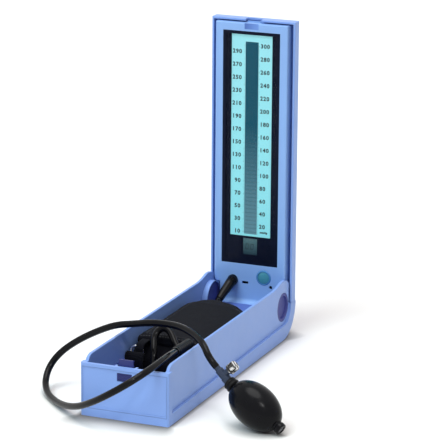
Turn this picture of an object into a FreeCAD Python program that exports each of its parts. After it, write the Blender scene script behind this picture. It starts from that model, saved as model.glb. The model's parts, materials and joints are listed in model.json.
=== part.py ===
import FreeCAD
import Part
import math
import os
import Sketcher

# Desk sphygmomanometer with a liquid-crystal pressure column, in millimetres.
# The case is a long box whose lid is hinged on two large trunnions at the back and is shown upright.
# +Z is up, +Y points from the latch at the front to the hinge at the back, and +X is to the right of
# someone who reads the scale. The origin is the centre of the closed case's outline on the underside.

Vector = FreeCAD.Vector
Rotation = FreeCAD.Rotation
Placement = FreeCAD.Placement

doc = FreeCAD.newDocument("DeskSphygmomanometer")
sheet = doc.addObject("Spreadsheet::Sheet", "Dimensions")
nodes = []


class Size:
    """A dimension: its number, and the expression over the sheet's cells that gives it."""

    def __init__(self, value, text):
        self.value = float(value)
        self.text = text

    def _join(self, other, sign, value):
        other_text = other.text if isinstance(other, Size) else f"{other:g}"
        return Size(value, f"({self.text} {sign} {other_text})")

    def __add__(self, other):
        return self._join(other, "+", self.value + number(other))

    def __sub__(self, other):
        return self._join(other, "-", self.value - number(other))

    def __mul__(self, other):
        return self._join(other, "*", self.value * number(other))

    def __truediv__(self, other):
        return self._join(other, "/", self.value / number(other))

    def __neg__(self):
        return Size(-self.value, f"(-1 * {self.text})")

    def __rsub__(self, other):
        return Size(other - self.value, f"({other:g} - {self.text})")

    __radd__ = __add__
    __rmul__ = __mul__


def number(size):
    """The plain number of a Size, or of a number."""
    return size.value if isinstance(size, Size) else float(size)


def text(size):
    """The expression of a Size, or of a number."""
    return size.text if isinstance(size, Size) else f"{size:g}"


def root(size):
    """The square root of a Size."""
    return Size(math.sqrt(size.value), f"sqrt({size.text})")


def cosine(size, degrees):
    """A radius times the cosine of an angle in degrees."""
    return size * math.cos(math.radians(degrees))


def sine(size, degrees):
    """A radius times the sine of an angle in degrees."""
    return size * math.sin(math.radians(degrees))


class Dimensions:
    """The driving dimensions, one cell of the sheet each."""

    def __init__(self):
        self.row = 0

    def add(self, alias, value):
        self.row += 1
        sheet.set(f"A{self.row}", alias)
        sheet.set(f"B{self.row}", str(value))
        sheet.setAlias(f"B{self.row}", alias)
        setattr(self, alias, Size(value, f"Dimensions.{alias}"))


d = Dimensions()

# The closed case.
d.add("case_width", 98)
d.add("case_length", 354)
d.add("case_height", 69.5)
d.add("back_round", 37)
d.add("wall_inset", 2.7)
d.add("side_wall", 3.4)
d.add("front_wall", 4)
d.add("floor_wall", 3)
d.add("front_height", 56.1)
d.add("frame_depth", 9)
d.add("ledge_front", 12.2)
d.add("ledge_back", 16.4)
d.add("side_height_front", 62.2)
d.add("side_height_back", 62.6)
d.add("running_gap", 0.3)
d.add("edge_round", 1.5)

# The hinge, whose axis lies along X.
d.add("hinge_height", 37)
d.add("hinge_inset", 32.5)
d.add("ear_radius", 30)
d.add("ear_back", 17.5)
d.add("trunnion_bore", 16.4)
d.add("trunnion_play", 0.07)
d.add("trunnion_wall", 2.2)
d.add("drum_radius", 21)
d.add("drum_wall", 1.2)
d.add("drum_inner_x", 36.2)
d.add("cheek_wall", 1.7)

# The lid, standing upright.
d.add("lid_top", 354)
d.add("lid_rim_back", 19.5)
d.add("lid_end_wall", 2.3)
d.add("lid_side_wall", 2.3)
d.add("lid_plate", 2.1)
d.add("skirt_radius", 29.2)
d.add("skirt_wall", 2)

# The display housing inside the lid.
d.add("panel_half_width", 42.2)
d.add("panel_face_back", 14)
d.add("panel_bottom", 54.4)
d.add("panel_top", 350.1)
d.add("foot_half_width", 35.2)
d.add("foot_bottom", 31)
d.add("foot_lip_y", 150)
d.add("foot_curve", 5)
d.add("panel_wall", 2.2)
d.add("window_half_width", 33.5)
d.add("window_bottom", 77.3)
d.add("window_top", 341.3)
d.add("lens_depth", 0.5)
d.add("lens_thick", 1.2)
d.add("mask_thick", 0.6)
d.add("plate_thick", 1)
d.add("scale_half_width", 24)
d.add("scale_bottom", 109.5)
d.add("scale_top", 337.7)
d.add("column_half_width", 7.6)
d.add("column_bottom", 112)
d.add("column_top", 329.4)
d.add("readout_half_width", 8.4)
d.add("readout_bottom", 88.3)
d.add("readout_top", 107)
d.add("button_x", 17.4)
d.add("button_z", 63.8)
d.add("button_radius", 6.6)
d.add("bezel_radius", 8.8)
d.add("inlet_x", -19.3)
d.add("inlet_z", 58.3)

# The latch in the front wall.
d.add("latch_half_width", 8.3)
d.add("latch_bottom", 41)
d.add("latch_top", 50)
d.add("latch_pin_z", 54)
d.add("latch_pin_inset", 6)
d.add("latch_pin_radius", 1.2)
d.add("hook_top", 63.2)

# The cuff, hoses, valve and bulb.
d.add("cuff_half_width", 40.7)
d.add("cuff_front", -74)
d.add("cuff_back", 86)
d.add("flap_back", 104)
d.add("flap_corner", 34)
d.add("cuff_bottom", 4.8)
d.add("cuff_top", 44)
d.add("cuff_ply", 11)
d.add("flap_top", 49.9)
d.add("hose_diameter", 7.2)
d.add("bulb_length", 63.5)
d.add("bulb_diameter", 43.3)

doc.recompute()

# Places worked out from the dimensions.
half_width = d.case_width / 2
half_length = d.case_length / 2
wall_outer_x = half_width - d.wall_inset
inner_half_width = wall_outer_x - d.side_wall
hinge_y = half_length - d.hinge_inset
hinge_z = d.hinge_height
rim_y = hinge_y + d.lid_rim_back
face_y = hinge_y + d.panel_face_back
front_y = -half_length


def bind(thing, name, size):
    """Set a property to a size and tie it to the sheet."""
    if isinstance(size, Size):
        thing.setExpression(name, size.text)
    setattr(thing, name, number(size))


def new_body(label):
    """An empty body for one piece."""
    body = doc.addObject("PartDesign::Body", label.title().replace("_", ""))
    body.Label = label
    nodes.append(body)
    return body


def sketch_on(body, role, offset=0):
    """A sketch on one of the body's own origin planes, moved along the plane's normal."""
    plane = [item for item in body.Origin.OriginFeatures if item.Role == role][0]
    sketch = body.newObject("Sketcher::SketchObject", "Sketch")
    sketch.AttachmentSupport = [(plane, "")]
    sketch.MapMode = "FlatFace"
    sketch.AttachmentOffset = Placement(Vector(0, 0, number(offset)), Rotation())
    if isinstance(offset, Size):
        sketch.setExpression("AttachmentOffset.Base.z", offset.text)
    return sketch


def hold_point(sketch, geometry, end, x, y):
    """Fix one point of the sketch at x and y from its origin."""
    for kind, size in (("DistanceX", x), ("DistanceY", y)):
        index = sketch.addConstraint(Sketcher.Constraint(kind, -1, 1, geometry, end, number(size)))
        if isinstance(size, Size):
            sketch.setExpression(f"Constraints[{index}]", size.text)


def arc_between(start, end, radius, left):
    """The short arc from start to end whose centre lies to the left or right of the way there."""
    chord = end - start
    height = math.sqrt(max(radius * radius - chord.Length * chord.Length / 4, 0))
    side = Vector(-chord.y, chord.x, 0).normalize()
    centre = (start + end) / 2 + side * (height if left else -height)
    bulge = (start + end) / 2 - centre
    if bulge.Length < 1e-9:
        bulge = -side if left else side
    middle = centre + bulge.normalize() * radius
    return Part.Arc(start, middle, end)


def outline(sketch, points, arcs=None):
    """A closed outline of straight edges, some of them replaced by arcs of a given radius."""
    arcs = arcs or {}
    first = sketch.GeometryCount
    count = len(points)
    places = [Vector(number(x), number(y), 0) for x, y in points]
    start_ends = []
    for index in range(count):
        here = places[index]
        there = places[(index + 1) % count]
        if index in arcs:
            radius, left = arcs[index]
            sketch.addGeometry(arc_between(here, there, number(radius), left), False)
            start_ends.append((1, 2) if left else (2, 1))
        else:
            sketch.addGeometry(Part.LineSegment(here, there), False)
            start_ends.append((1, 2))
    for index in range(count):
        after = (index + 1) % count
        sketch.addConstraint(Sketcher.Constraint(
            "Coincident", first + index, start_ends[index][1], first + after, start_ends[after][0]))
        hold_point(sketch, first + index, start_ends[index][0], *points[index])
    for index, (radius, _) in arcs.items():
        place = sketch.addConstraint(Sketcher.Constraint("Radius", first + index, number(radius)))
        if isinstance(radius, Size):
            sketch.setExpression(f"Constraints[{place}]", radius.text)
    return sketch


def box_outline(sketch, x_low, x_high, y_low, y_high):
    """A rectangle from its four limits."""
    return outline(sketch, [(x_low, y_low), (x_high, y_low), (x_high, y_high), (x_low, y_high)])


def circle(sketch, x, y, radius):
    """A circle with its centre and radius held."""
    centre = Vector(number(x), number(y), 0)
    index = sketch.addGeometry(Part.Circle(centre, Vector(0, 0, 1), number(radius)), False)
    hold_point(sketch, index, 3, x, y)
    place = sketch.addConstraint(Sketcher.Constraint("Radius", index, number(radius)))
    if isinstance(radius, Size):
        sketch.setExpression(f"Constraints[{place}]", radius.text)
    return sketch


def extrude(kind, body, sketch, length, both_ways, away):
    """A pad or pocket of one sketch."""
    feature = body.newObject(kind, kind.split("::")[1])
    feature.Profile = sketch
    bind(feature, "Length", length)
    feature.SideType = "Symmetric" if both_ways else "One side"
    feature.Reversed = away
    doc.recompute()
    return feature


def pad(body, sketch, length, both_ways=True, away=False):
    """Material grown from a sketch, over its whole length centred on the plane unless said."""
    return extrude("PartDesign::Pad", body, sketch, length, both_ways, away)


def pocket(body, sketch, length, both_ways=True, away=False):
    """Material cut away from a sketch; the result has to be smaller than before."""
    before = body.Shape.Volume
    feature = extrude("PartDesign::Pocket", body, sketch, length, both_ways, away)
    if not body.Shape.Volume < before - 1e-6:
        raise RuntimeError(f"a pocket of {body.Label} cuts nothing")
    return feature


def mirror(body, features, role="YZ_Plane"):
    """The features again on the other side of one of the body's own planes."""
    plane = [item for item in body.Origin.OriginFeatures if item.Role == role][0]
    feature = body.newObject("PartDesign::Mirrored", "Mirrored")
    feature.Originals = features
    feature.MirrorPlane = (plane, [""])
    body.Tip = feature
    doc.recompute()
    return feature


def revolve(body, sketch, axis_role, degrees=360, both_ways=True):
    """Material turned round one of the body's own axes."""
    axis = [item for item in body.Origin.OriginFeatures if item.Role == axis_role][0]
    feature = body.newObject("PartDesign::Revolution", "Revolution")
    feature.Profile = sketch
    feature.ReferenceAxis = (axis, [""])
    feature.Angle = degrees
    feature.Midplane = both_ways and degrees < 360
    doc.recompute()
    return feature


def round_edges(body, radius, chosen):
    """A fillet on the edges of the body for which chosen(edge) is true."""
    tip = body.Tip
    names = [f"Edge{place + 1}" for place, edge in enumerate(tip.Shape.Edges) if chosen(edge)]
    if not names:
        raise RuntimeError(f"no edge of {body.Label} to round")
    feature = body.newObject("PartDesign::Fillet", "Fillet")
    feature.Base = (tip, names)
    bind(feature, "Radius", radius)
    doc.recompute()
    if feature.Shape.isNull() or not feature.Shape.isValid():
        raise RuntimeError(f"the fillet of {body.Label} failed")
    return feature


def near(value, size, slack=0.02):
    """Whether a number is a size, within a little slack."""
    return abs(value - number(size)) < slack


def is_upright(edge):
    """Whether an edge is straight and vertical."""
    box = edge.BoundBox
    return box.XLength < 0.01 and box.YLength < 0.01 and box.ZLength > 1


def on_side(edge, size):
    """Whether an edge lies in the plane x = size or x = -size."""
    box = edge.BoundBox
    return box.XLength < 0.01 and near(abs(box.XMin), size)


def place_shape(label, shape, placement=None):
    """A piece whose shape is set in code, with its own placement."""
    piece = doc.addObject("Part::Feature", label.title().replace("_", ""))
    piece.Label = label
    piece.Shape = shape
    if placement is not None:
        piece.Placement = placement
    nodes.append(piece)
    return piece


# ---------------------------------------------------------------- lower case


def side_outline(sketch):
    """The lower case seen from the side: a long box with a quarter-round back and the hinge ears."""
    top_back = root(d.ear_radius * d.ear_radius - d.ear_back * d.ear_back)
    crown = 105
    swing_radius = 86
    shoulder_radius = 15.6
    points = [
        (front_y, 0),
        (half_length - d.back_round, 0),
        (half_length, hinge_z - 0.2),
        (hinge_y + d.ear_back + 1, hinge_z - 0.2),
        (hinge_y + d.ear_back, hinge_z + 0.8),
        (hinge_y + d.ear_back, hinge_z + top_back),
        (hinge_y + cosine(d.ear_radius, crown), hinge_z + sine(d.ear_radius, crown)),
        (hinge_y - 30, d.side_height_back),
        (front_y + 18, d.side_height_front),
        (front_y + 10, d.side_height_front - 2.2),
        (front_y + 7.2, d.front_height),
        (front_y, d.front_height),
    ]
    arcs = {
        1: (d.back_round, True),
        5: (d.ear_radius, True),
        6: (swing_radius, False),
        8: (shoulder_radius, True),
    }
    return outline(sketch, points, arcs)


def base_shell():
    """The lower case: floor, walls set in above a ledge, quarter-round back, bored ears, latch window."""
    body = new_body("base_shell")
    pad(body, side_outline(sketch_on(body, "YZ_Plane")), d.case_width)
    inside = half_length - d.front_wall
    shell = d.back_round - d.floor_wall
    turn_y = half_length - d.back_round
    cavity = outline(sketch_on(body, "YZ_Plane"), [
        (-inside, d.floor_wall),
        (turn_y, d.floor_wall),
        (turn_y + shell, hinge_z),
        (turn_y + shell, d.case_height + 10),
        (-inside, d.case_height + 10),
    ], {1: (shell, True)})
    pocket(body, cavity, inner_half_width * 2)
    side_recesses(body)
    round_edges(body, 2.5, lambda edge: is_upright(edge) and near(edge.BoundBox.YMin, front_y))
    pocket(body, circle(sketch_on(body, "YZ_Plane"), hinge_y, hinge_z, d.trunnion_bore), d.case_width + 4)
    window = box_outline(sketch_on(body, "XZ_Plane", half_length),
                         -d.latch_half_width, d.latch_half_width, d.latch_bottom, d.latch_top)
    pocket(body, window, d.front_wall * 2 + 2)
    field = box_outline(sketch_on(body, "XZ_Plane", half_length),
                        -(half_width - 3), half_width - 3, 10.5, d.front_height - 4.5)
    pocket(body, field, 0.8)
    latch_brackets(body)
    feet = sketch_on(body, "XY_Plane")
    for x in (-1, 1):
        for y in (-0.82, 0.5):
            circle(feet, half_width * (0.72 * x), half_length * y, 7)
    pocket(body, feet, 2.4)
    screws = sketch_on(body, "XY_Plane")
    for x, y in screw_places():
        circle(screws, x, y, 1.6)
    pocket(body, screws, 20)
    heads = sketch_on(body, "XY_Plane")
    for x, y in screw_places():
        circle(heads, x, y, 3.3)
    pocket(body, heads, 3.6)
    round_edges(body, 0.8, lambda edge: (on_side(edge, wall_outer_x) or on_side(edge, inner_half_width))
                and edge.BoundBox.ZMin > 56.5 and edge.BoundBox.YMax < number(hinge_y + d.ear_back) + 0.1)
    return body


def screw_places():
    """The four screws that hold the accessory tray down."""
    return [(half_width * (0.5 * x), half_length * y) for x in (-1, 1) for y in (-0.86, 0.54)]


def side_recesses(body):
    """The recess in both sides, above a ledge that rises slowly and turns up behind the hinge."""
    turn = 18
    start_y = front_y + d.frame_depth
    above = d.case_height + 20
    points = [
        (start_y, d.ledge_front),
        (hinge_y, d.ledge_back),
        (hinge_y + turn, d.ledge_back + turn),
        (hinge_y + turn, above),
        (front_y - 1, above),
        (front_y - 1, d.front_height),
        (start_y, d.front_height),
    ]
    cut = outline(sketch_on(body, "YZ_Plane", wall_outer_x), points, {1: (turn, True)})
    mirror(body, [pocket(body, cut, d.wall_inset + 1, both_ways=False, away=True)])


def latch_brackets(body):
    """Two lugs behind the front wall that carry the latch pin."""
    outer = d.latch_half_width + 4.4
    pin_y = front_y + d.latch_pin_inset
    lug = box_outline(sketch_on(body, "YZ_Plane", d.latch_half_width + 1.6),
                      front_y + d.front_wall - 0.5, pin_y + 2, d.latch_pin_z - 3, d.latch_pin_z + 2)
    grown = pad(body, lug, 2.4, both_ways=False)
    mirror(body, [grown])
    bore = circle(sketch_on(body, "YZ_Plane"), pin_y, d.latch_pin_z, d.latch_pin_radius)
    pocket(body, bore, outer * 2)


def accessory_tray():
    """The liner for the cuff: floor, low walls, the bulkhead and the shelf in front of the hinge."""
    body = new_body("accessory_tray")
    wall = 1.5
    floor = d.floor_wall
    low_y = front_y + d.front_wall + 0.1
    bulkhead = hinge_y - 33.5
    shelf = 34
    end_y = hinge_y + 4
    section = outline(sketch_on(body, "YZ_Plane"), [
        (low_y, floor), (bulkhead, floor), (bulkhead, shelf - wall), (end_y, shelf - wall),
        (end_y, shelf), (bulkhead - wall, shelf), (bulkhead - wall, floor + wall),
        (low_y + wall, floor + wall), (low_y + wall, 34), (low_y, 34),
    ])
    pad(body, section, 35.6 * 2)
    wide = outline(sketch_on(body, "YZ_Plane"), [
        (low_y, floor), (bulkhead, floor), (bulkhead, shelf), (bulkhead - wall, shelf),
        (bulkhead - wall, floor + wall), (low_y + wall, floor + wall), (low_y + wall, 34), (low_y, 34),
    ])
    pad(body, wide, (inner_half_width - 0.1) * 2)
    side = box_outline(sketch_on(body, "YZ_Plane", inner_half_width - 0.1 - wall),
                       low_y, bulkhead, floor, 34)
    mirror(body, [pad(body, side, wall, both_ways=False)])
    notch = box_outline(sketch_on(body, "XY_Plane", 24), -30.5, -18, bulkhead - 6, bulkhead + 9)
    pocket(body, notch, 20, both_ways=False, away=True)
    holes = sketch_on(body, "XY_Plane", floor)
    for x, y in screw_places():
        circle(holes, x, y, 1.5)
    pocket(body, holes, 2.4)
    return body


def foot_pads():
    """Four soft discs let into the underside."""
    body = new_body("foot_pads")
    sketch = sketch_on(body, "XY_Plane")
    for x in (-1, 1):
        for y in (-0.82, 0.5):
            circle(sketch, half_width * (0.72 * x), half_length * y, 6.9)
    feature = pad(body, sketch, 1.2, both_ways=False)
    feature.AllowMultiFace = True
    return body


def screw_shape(head_radius, head_height, shank_radius, shank_length):
    """A pan-head screw, head down, as one turned profile with a cross recess."""
    profile = Part.makePolygon([
        Vector(0, 0, 0), Vector(head_radius - 0.5, 0, 0), Vector(head_radius, 0, 0.5),
        Vector(head_radius, 0, head_height), Vector(shank_radius, 0, head_height),
        Vector(shank_radius, 0, head_height + shank_length), Vector(0, 0, head_height + shank_length),
        Vector(0, 0, 0),
    ])
    screw = Part.Face(profile).revolve(Vector(0, 0, 0), Vector(0, 0, 1), 360)
    slot = Part.makeBox(head_radius * 1.2, 0.8, 0.8, Vector(-head_radius * 0.6, -0.4, -0.1))
    return screw.cut(slot.fuse(slot.rotated(Vector(0, 0, 0), Vector(0, 0, 1), 90)))


def base_screws():
    """The four screws under the case."""
    screw = screw_shape(3, 1.2, 1.5, 2.2)
    screws = []
    for x, y in screw_places():
        copy = screw.copy()
        copy.translate(Vector(number(x), number(y), 0.6))
        screws.append(copy)
    place_shape("base_screws", Part.makeCompound(screws))


# ---------------------------------------------------------------- latch


def latch_lever():
    """The rocker: its lower end is the push face in the window, its upper end the hook."""
    body = new_body("latch_lever")
    pin_y = front_y + d.latch_pin_inset
    face = front_y + 0.7
    points = [
        (face, d.latch_bottom + 0.7),
        (pin_y - 1.6, d.latch_bottom + 0.7),
        (pin_y + 1.9, d.latch_top),
        (pin_y + 1.9, d.latch_pin_z + 2.6),
        (pin_y + 0.4, d.latch_pin_z + 4.6),
        (pin_y + 0.4, d.hook_top - 1.9),
        (pin_y + 1.6, d.hook_top - 1.7),
        (pin_y + 1.5, d.hook_top - 0.9),
        (pin_y + 0.2, d.hook_top),
        (pin_y - 1.6, d.hook_top),
        (pin_y - 1.6, d.latch_top - 0.4),
        (face, d.latch_top - 0.4),
    ]
    pad(body, outline(sketch_on(body, "YZ_Plane"), points), (d.latch_half_width - 0.3) * 2)
    bore = circle(sketch_on(body, "YZ_Plane"), pin_y, d.latch_pin_z, d.latch_pin_radius + 0.06)
    pocket(body, bore, 40)
    ribs = sketch_on(body, "XZ_Plane", half_length)
    for step in range(4):
        low = d.latch_bottom + (1.5 + 1.8 * step)
        box_outline(ribs, -(d.latch_half_width - 2), d.latch_half_width - 2, low, low + 0.8)
    pocket(body, ribs, 2.2)
    return body


def latch_pin():
    """The steel pin of the latch lever."""
    pin = doc.addObject("Part::Cylinder", "LatchPin")
    pin.Label = "latch_pin"
    bind(pin, "Radius", d.latch_pin_radius)
    bind(pin, "Height", (d.latch_half_width + 4) * 2)
    pin.Placement = Placement(Vector(-number(d.latch_half_width + 4), number(front_y + d.latch_pin_inset),
                                     number(d.latch_pin_z)), Rotation(Vector(0, 1, 0), 90))
    nodes.append(pin)


def latch_spring():
    """A leaf spring that stands on the tray's front wall and pushes the lever's face out."""
    body = new_body("latch_spring")
    thick = 0.4
    foot = front_y + d.front_wall + 0.3
    belly = front_y + 8.2
    tip = front_y + 6.95
    points = [
        (foot, 34), (foot + 1.2, 34), (foot + 1.2, 34 + thick), (foot + thick + 0.1, 34 + thick),
        (foot + thick, 35.8), (belly + thick, 41.2), (belly + thick, 42), (tip + thick, 47.6),
        (tip, 47.4), (belly, 41.8), (belly, 41.4), (foot, 36),
    ]
    pad(body, outline(sketch_on(body, "YZ_Plane"), points), 8)
    return body


# ---------------------------------------------------------------- lid


def lid_cover():
    """The outer lid: plate, rim, quarter-round skirt, and the cheeks with their drums and trunnions."""
    body = new_body("lid_cover")
    gap = d.running_gap
    low = hinge_z + 0.2
    pad(body, box_outline(sketch_on(body, "YZ_Plane"), rim_y, half_length, low, d.lid_top), d.case_width)
    hollow = box_outline(sketch_on(body, "YZ_Plane"), rim_y - 20, half_length - d.lid_plate,
                         low - 5, d.lid_top - d.lid_end_wall)
    pocket(body, hollow, (half_width - d.lid_side_wall) * 2)
    round_edges(body, 2, lambda edge: is_upright(edge) and near(edge.BoundBox.YMin, half_length))
    inner = d.skirt_radius - d.skirt_wall
    cheek_x = inner_half_width - gap
    skirt = outline(sketch_on(body, "YZ_Plane"), [
        (hinge_y, hinge_z - d.skirt_radius),
        (hinge_y + d.skirt_radius, hinge_z),
        (hinge_y + d.skirt_radius, low),
        (half_length - 0.5, low),
        (half_length - 0.5, low + 2.4),
        (hinge_y + inner, low + 2.4),
        (hinge_y + inner, hinge_z),
        (hinge_y, hinge_z - inner),
    ], {0: (d.skirt_radius, True), 6: (inner, False)})
    pad(body, skirt, cheek_x * 2)
    lid_cheeks(body, cheek_x)
    notch = box_outline(sketch_on(body, "YZ_Plane"), rim_y - 5, rim_y + 7.7, d.lid_top - 6, d.lid_top + 2)
    pocket(body, notch, (d.latch_half_width + 0.9) * 2)
    round_edges(body, 0.8, lambda edge: near(edge.BoundBox.YMin, rim_y) and near(edge.BoundBox.YMax, rim_y)
                and (on_side(edge, half_width) or near(edge.BoundBox.ZMin, d.lid_top)))
    lid_screw_holes(body)
    return body


def lid_cheeks(body, cheek_x):
    """Both cheeks: a disc round the hinge, the web to the lid's plate, the hollow drum and the trunnion."""
    wall = d.cheek_wall
    web_y = d.panel_face_back
    web_z = root(d.drum_radius * d.drum_radius - web_y * web_y)
    sector = outline(sketch_on(body, "YZ_Plane", cheek_x - wall), [
        (hinge_y, hinge_z - d.skirt_radius + 0.5),
        (hinge_y + d.skirt_radius - 0.5, hinge_z),
        (half_length - 1, hinge_z + 0.5),
        (half_length - 1, hinge_z + 12),
        (hinge_y + web_y, hinge_z + web_z),
        (hinge_y - d.drum_radius, hinge_z),
        (hinge_y, hinge_z - d.drum_radius),
    ], {0: (d.skirt_radius - 0.5, True), 4: (d.drum_radius, True), 5: (d.drum_radius, True)})
    web = pad(body, sector, wall, both_ways=False)
    ring = sketch_on(body, "YZ_Plane", d.drum_inner_x)
    circle(ring, hinge_y, hinge_z, d.drum_radius)
    circle(ring, hinge_y, hinge_z, d.drum_radius - d.drum_wall)
    drum = pad(body, ring, cheek_x - wall - d.drum_inner_x + 0.2, both_ways=False)
    boss = circle(sketch_on(body, "YZ_Plane", cheek_x - 0.2), hinge_y, hinge_z,
                  d.trunnion_bore - d.trunnion_play)
    trunnion = pad(body, boss, 3.1, both_ways=False)
    bore = circle(sketch_on(body, "YZ_Plane", cheek_x), hinge_y, hinge_z,
                  d.trunnion_bore - d.trunnion_play - d.trunnion_wall)
    hollow = pocket(body, bore, 8)
    mirror(body, [web, drum, trunnion, hollow])


def lid_screw_places():
    """The six screws in the back of the lid."""
    return [(d.panel_half_width * (0.88 * x), z) for x in (-1, 1) for z in (80, 210, 340)]


def lid_screw_holes(body):
    """Counterbored holes in the lid's back plate."""
    for radius, length in ((1.6, 12), (3.3, 2.8)):
        sketch = sketch_on(body, "XZ_Plane", -half_length)
        for x, z in lid_screw_places():
            circle(sketch, x, z, radius)
        pocket(body, sketch, length)


def lid_screws():
    """The screws that hold the display housing in the lid."""
    screw = screw_shape(3, 1.1, 1.5, 3)
    screws = []
    for x, z in lid_screw_places():
        copy = screw.copy()
        copy.Placement = Placement(Vector(number(x), number(half_length) - 0.2, number(z)),
                                   Rotation(Vector(1, 0, 0), 90))
        screws.append(copy)
    place_shape("lid_screws", Part.makeCompound(screws))


def hinge_caps():
    """The dark caps of each hollow trunnion: a dished one outside and a cover inside the drum."""
    plug = number(d.trunnion_bore - d.trunnion_play - d.trunnion_wall) - 0.03
    flange = number(d.trunnion_bore) - 0.4
    seat = number(inner_half_width - d.running_gap) + 2.95
    face = number(wall_outer_x) - 0.1
    dish = seat - 1.6
    profile = Part.makePolygon([
        Vector(dish - 1, 0, 0), Vector(dish - 1, plug, 0), Vector(seat, plug, 0), Vector(seat, flange, 0),
        Vector(face, flange, 0), Vector(face, plug - 1.2, 0), Vector(dish, plug - 1.8, 0), Vector(dish, 0, 0),
        Vector(dish - 1, 0, 0),
    ])
    outer = Part.Face(profile).revolve(Vector(0, 0, 0), Vector(1, 0, 0), 360)
    cover = number(d.drum_radius - d.drum_wall) - 0.05
    sunk = number(d.drum_inner_x) + 2
    behind = dish - 1.2
    profile = Part.makePolygon([
        Vector(sunk, 0, 0), Vector(sunk, cover, 0), Vector(sunk + 1.2, cover, 0), Vector(sunk + 1.2, plug, 0),
        Vector(behind, plug, 0), Vector(behind, plug - 1.2, 0), Vector(sunk + 1.2, plug - 1.2, 0),
        Vector(sunk + 1.2, 0, 0), Vector(sunk, 0, 0),
    ])
    inner = Part.Face(profile).revolve(Vector(0, 0, 0), Vector(1, 0, 0), 360)
    cap = Part.makeCompound([outer, inner])
    axis = Vector(0, number(hinge_y), number(hinge_z))
    place_shape("hinge_cap_right", cap, Placement(axis, Rotation()))
    place_shape("hinge_cap_left", cap, Placement(axis, Rotation(Vector(0, 0, 1), 180)))


def panel_housing():
    """The display housing: a hollow shell with a narrower foot that ends in a lip above the shelf."""
    body = new_body("panel_housing")
    back_y = half_length - d.lid_plate - 0.1
    wall = d.panel_wall
    pad(body, box_outline(sketch_on(body, "YZ_Plane"), face_y, back_y, d.panel_bottom, d.panel_top),
        d.panel_half_width * 2)
    round_edges(body, 4, lambda edge: on_side(edge, d.panel_half_width)
                and near(edge.BoundBox.ZMax, d.panel_bottom))
    round_edges(body, 1.2, lambda edge: near(edge.BoundBox.YMin, face_y) and near(edge.BoundBox.YMax, face_y))
    foot_back = hinge_y + 23.5
    step_z = hinge_z + 4
    foot = outline(sketch_on(body, "YZ_Plane"), [
        (d.foot_lip_y, d.foot_bottom),
        (foot_back, d.foot_bottom),
        (foot_back, step_z),
        (back_y, step_z),
        (back_y, d.panel_bottom + 2),
        (face_y, d.panel_bottom + 2),
        (face_y, d.foot_bottom + 2 + d.foot_curve),
        (face_y - d.foot_curve, d.foot_bottom + 2),
        (d.foot_lip_y, d.foot_bottom + 2),
    ], {6: (d.foot_curve, False)})
    pad(body, foot, d.foot_half_width * 2)
    round_edges(body, 0.7, lambda edge: near(edge.BoundBox.YMin, d.foot_lip_y)
                and near(edge.BoundBox.YMax, d.foot_lip_y) and edge.BoundBox.XLength > 10)
    inside = box_outline(sketch_on(body, "YZ_Plane"), face_y + wall, back_y + 5,
                         d.panel_bottom + wall, d.panel_top - wall)
    pocket(body, inside, (d.panel_half_width - wall) * 2)
    foot_inside = outline(sketch_on(body, "YZ_Plane"), [
        (face_y + wall, d.foot_bottom + wall),
        (foot_back - wall, d.foot_bottom + wall),
        (foot_back - wall, step_z + wall),
        (back_y + 5, step_z + wall),
        (back_y + 5, d.panel_bottom + 4),
        (face_y + wall, d.panel_bottom + 4),
    ])
    pocket(body, foot_inside, (d.foot_half_width - wall) * 2)
    recess = box_outline(sketch_on(body, "XZ_Plane", -face_y), -d.window_half_width, d.window_half_width,
                         d.window_bottom, d.window_top)
    pocket(body, recess, (d.lens_depth + d.lens_thick) * 2)
    opening = box_outline(sketch_on(body, "XZ_Plane", -face_y), -(d.window_half_width - 2),
                          d.window_half_width - 2, d.window_bottom + 2, d.window_top - 2)
    pocket(body, opening, 12)
    holes = sketch_on(body, "XZ_Plane", -face_y)
    circle(holes, d.button_x, d.button_z, d.bezel_radius)
    circle(holes, d.inlet_x, d.inlet_z, 3.6)
    circle(holes, d.button_x + 8.5, d.button_z - 10.3, 2)
    box_outline(holes, -8.4, -0.9, 54.4, 57.5)
    pocket(body, holes, 12)
    strike = box_outline(sketch_on(body, "YZ_Plane"), rim_y + 2.8, rim_y + 4.4, d.panel_top - 1,
                         d.panel_top + 1.4)
    pad(body, strike, (d.latch_half_width - 0.1) * 2)
    bosses = sketch_on(body, "XZ_Plane", -(back_y - 6))
    for x, z in lid_screw_places():
        circle(bosses, x, z, 3)
    pad(body, bosses, 6, both_ways=False, away=True)
    pilots = sketch_on(body, "XZ_Plane", -back_y)
    for x, z in lid_screw_places():
        circle(pilots, x, z, 1.5)
    pocket(body, pilots, 8)
    return body


# ---------------------------------------------------------------- display stack


def upright_plate(label, x_low, x_high, z_low, z_high, y_front, thick, openings=()):
    """A flat plate in the lid with square openings, each given by its four limits."""
    body = new_body(label)
    plate = box_outline(sketch_on(body, "XZ_Plane", -y_front), x_low, x_high, z_low, z_high)
    pad(body, plate, thick, both_ways=False, away=True)
    if openings:
        cuts = sketch_on(body, "XZ_Plane", -y_front)
        for limits in openings:
            box_outline(cuts, *limits)
        pocket(body, cuts, thick * 4)
    return body


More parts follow.
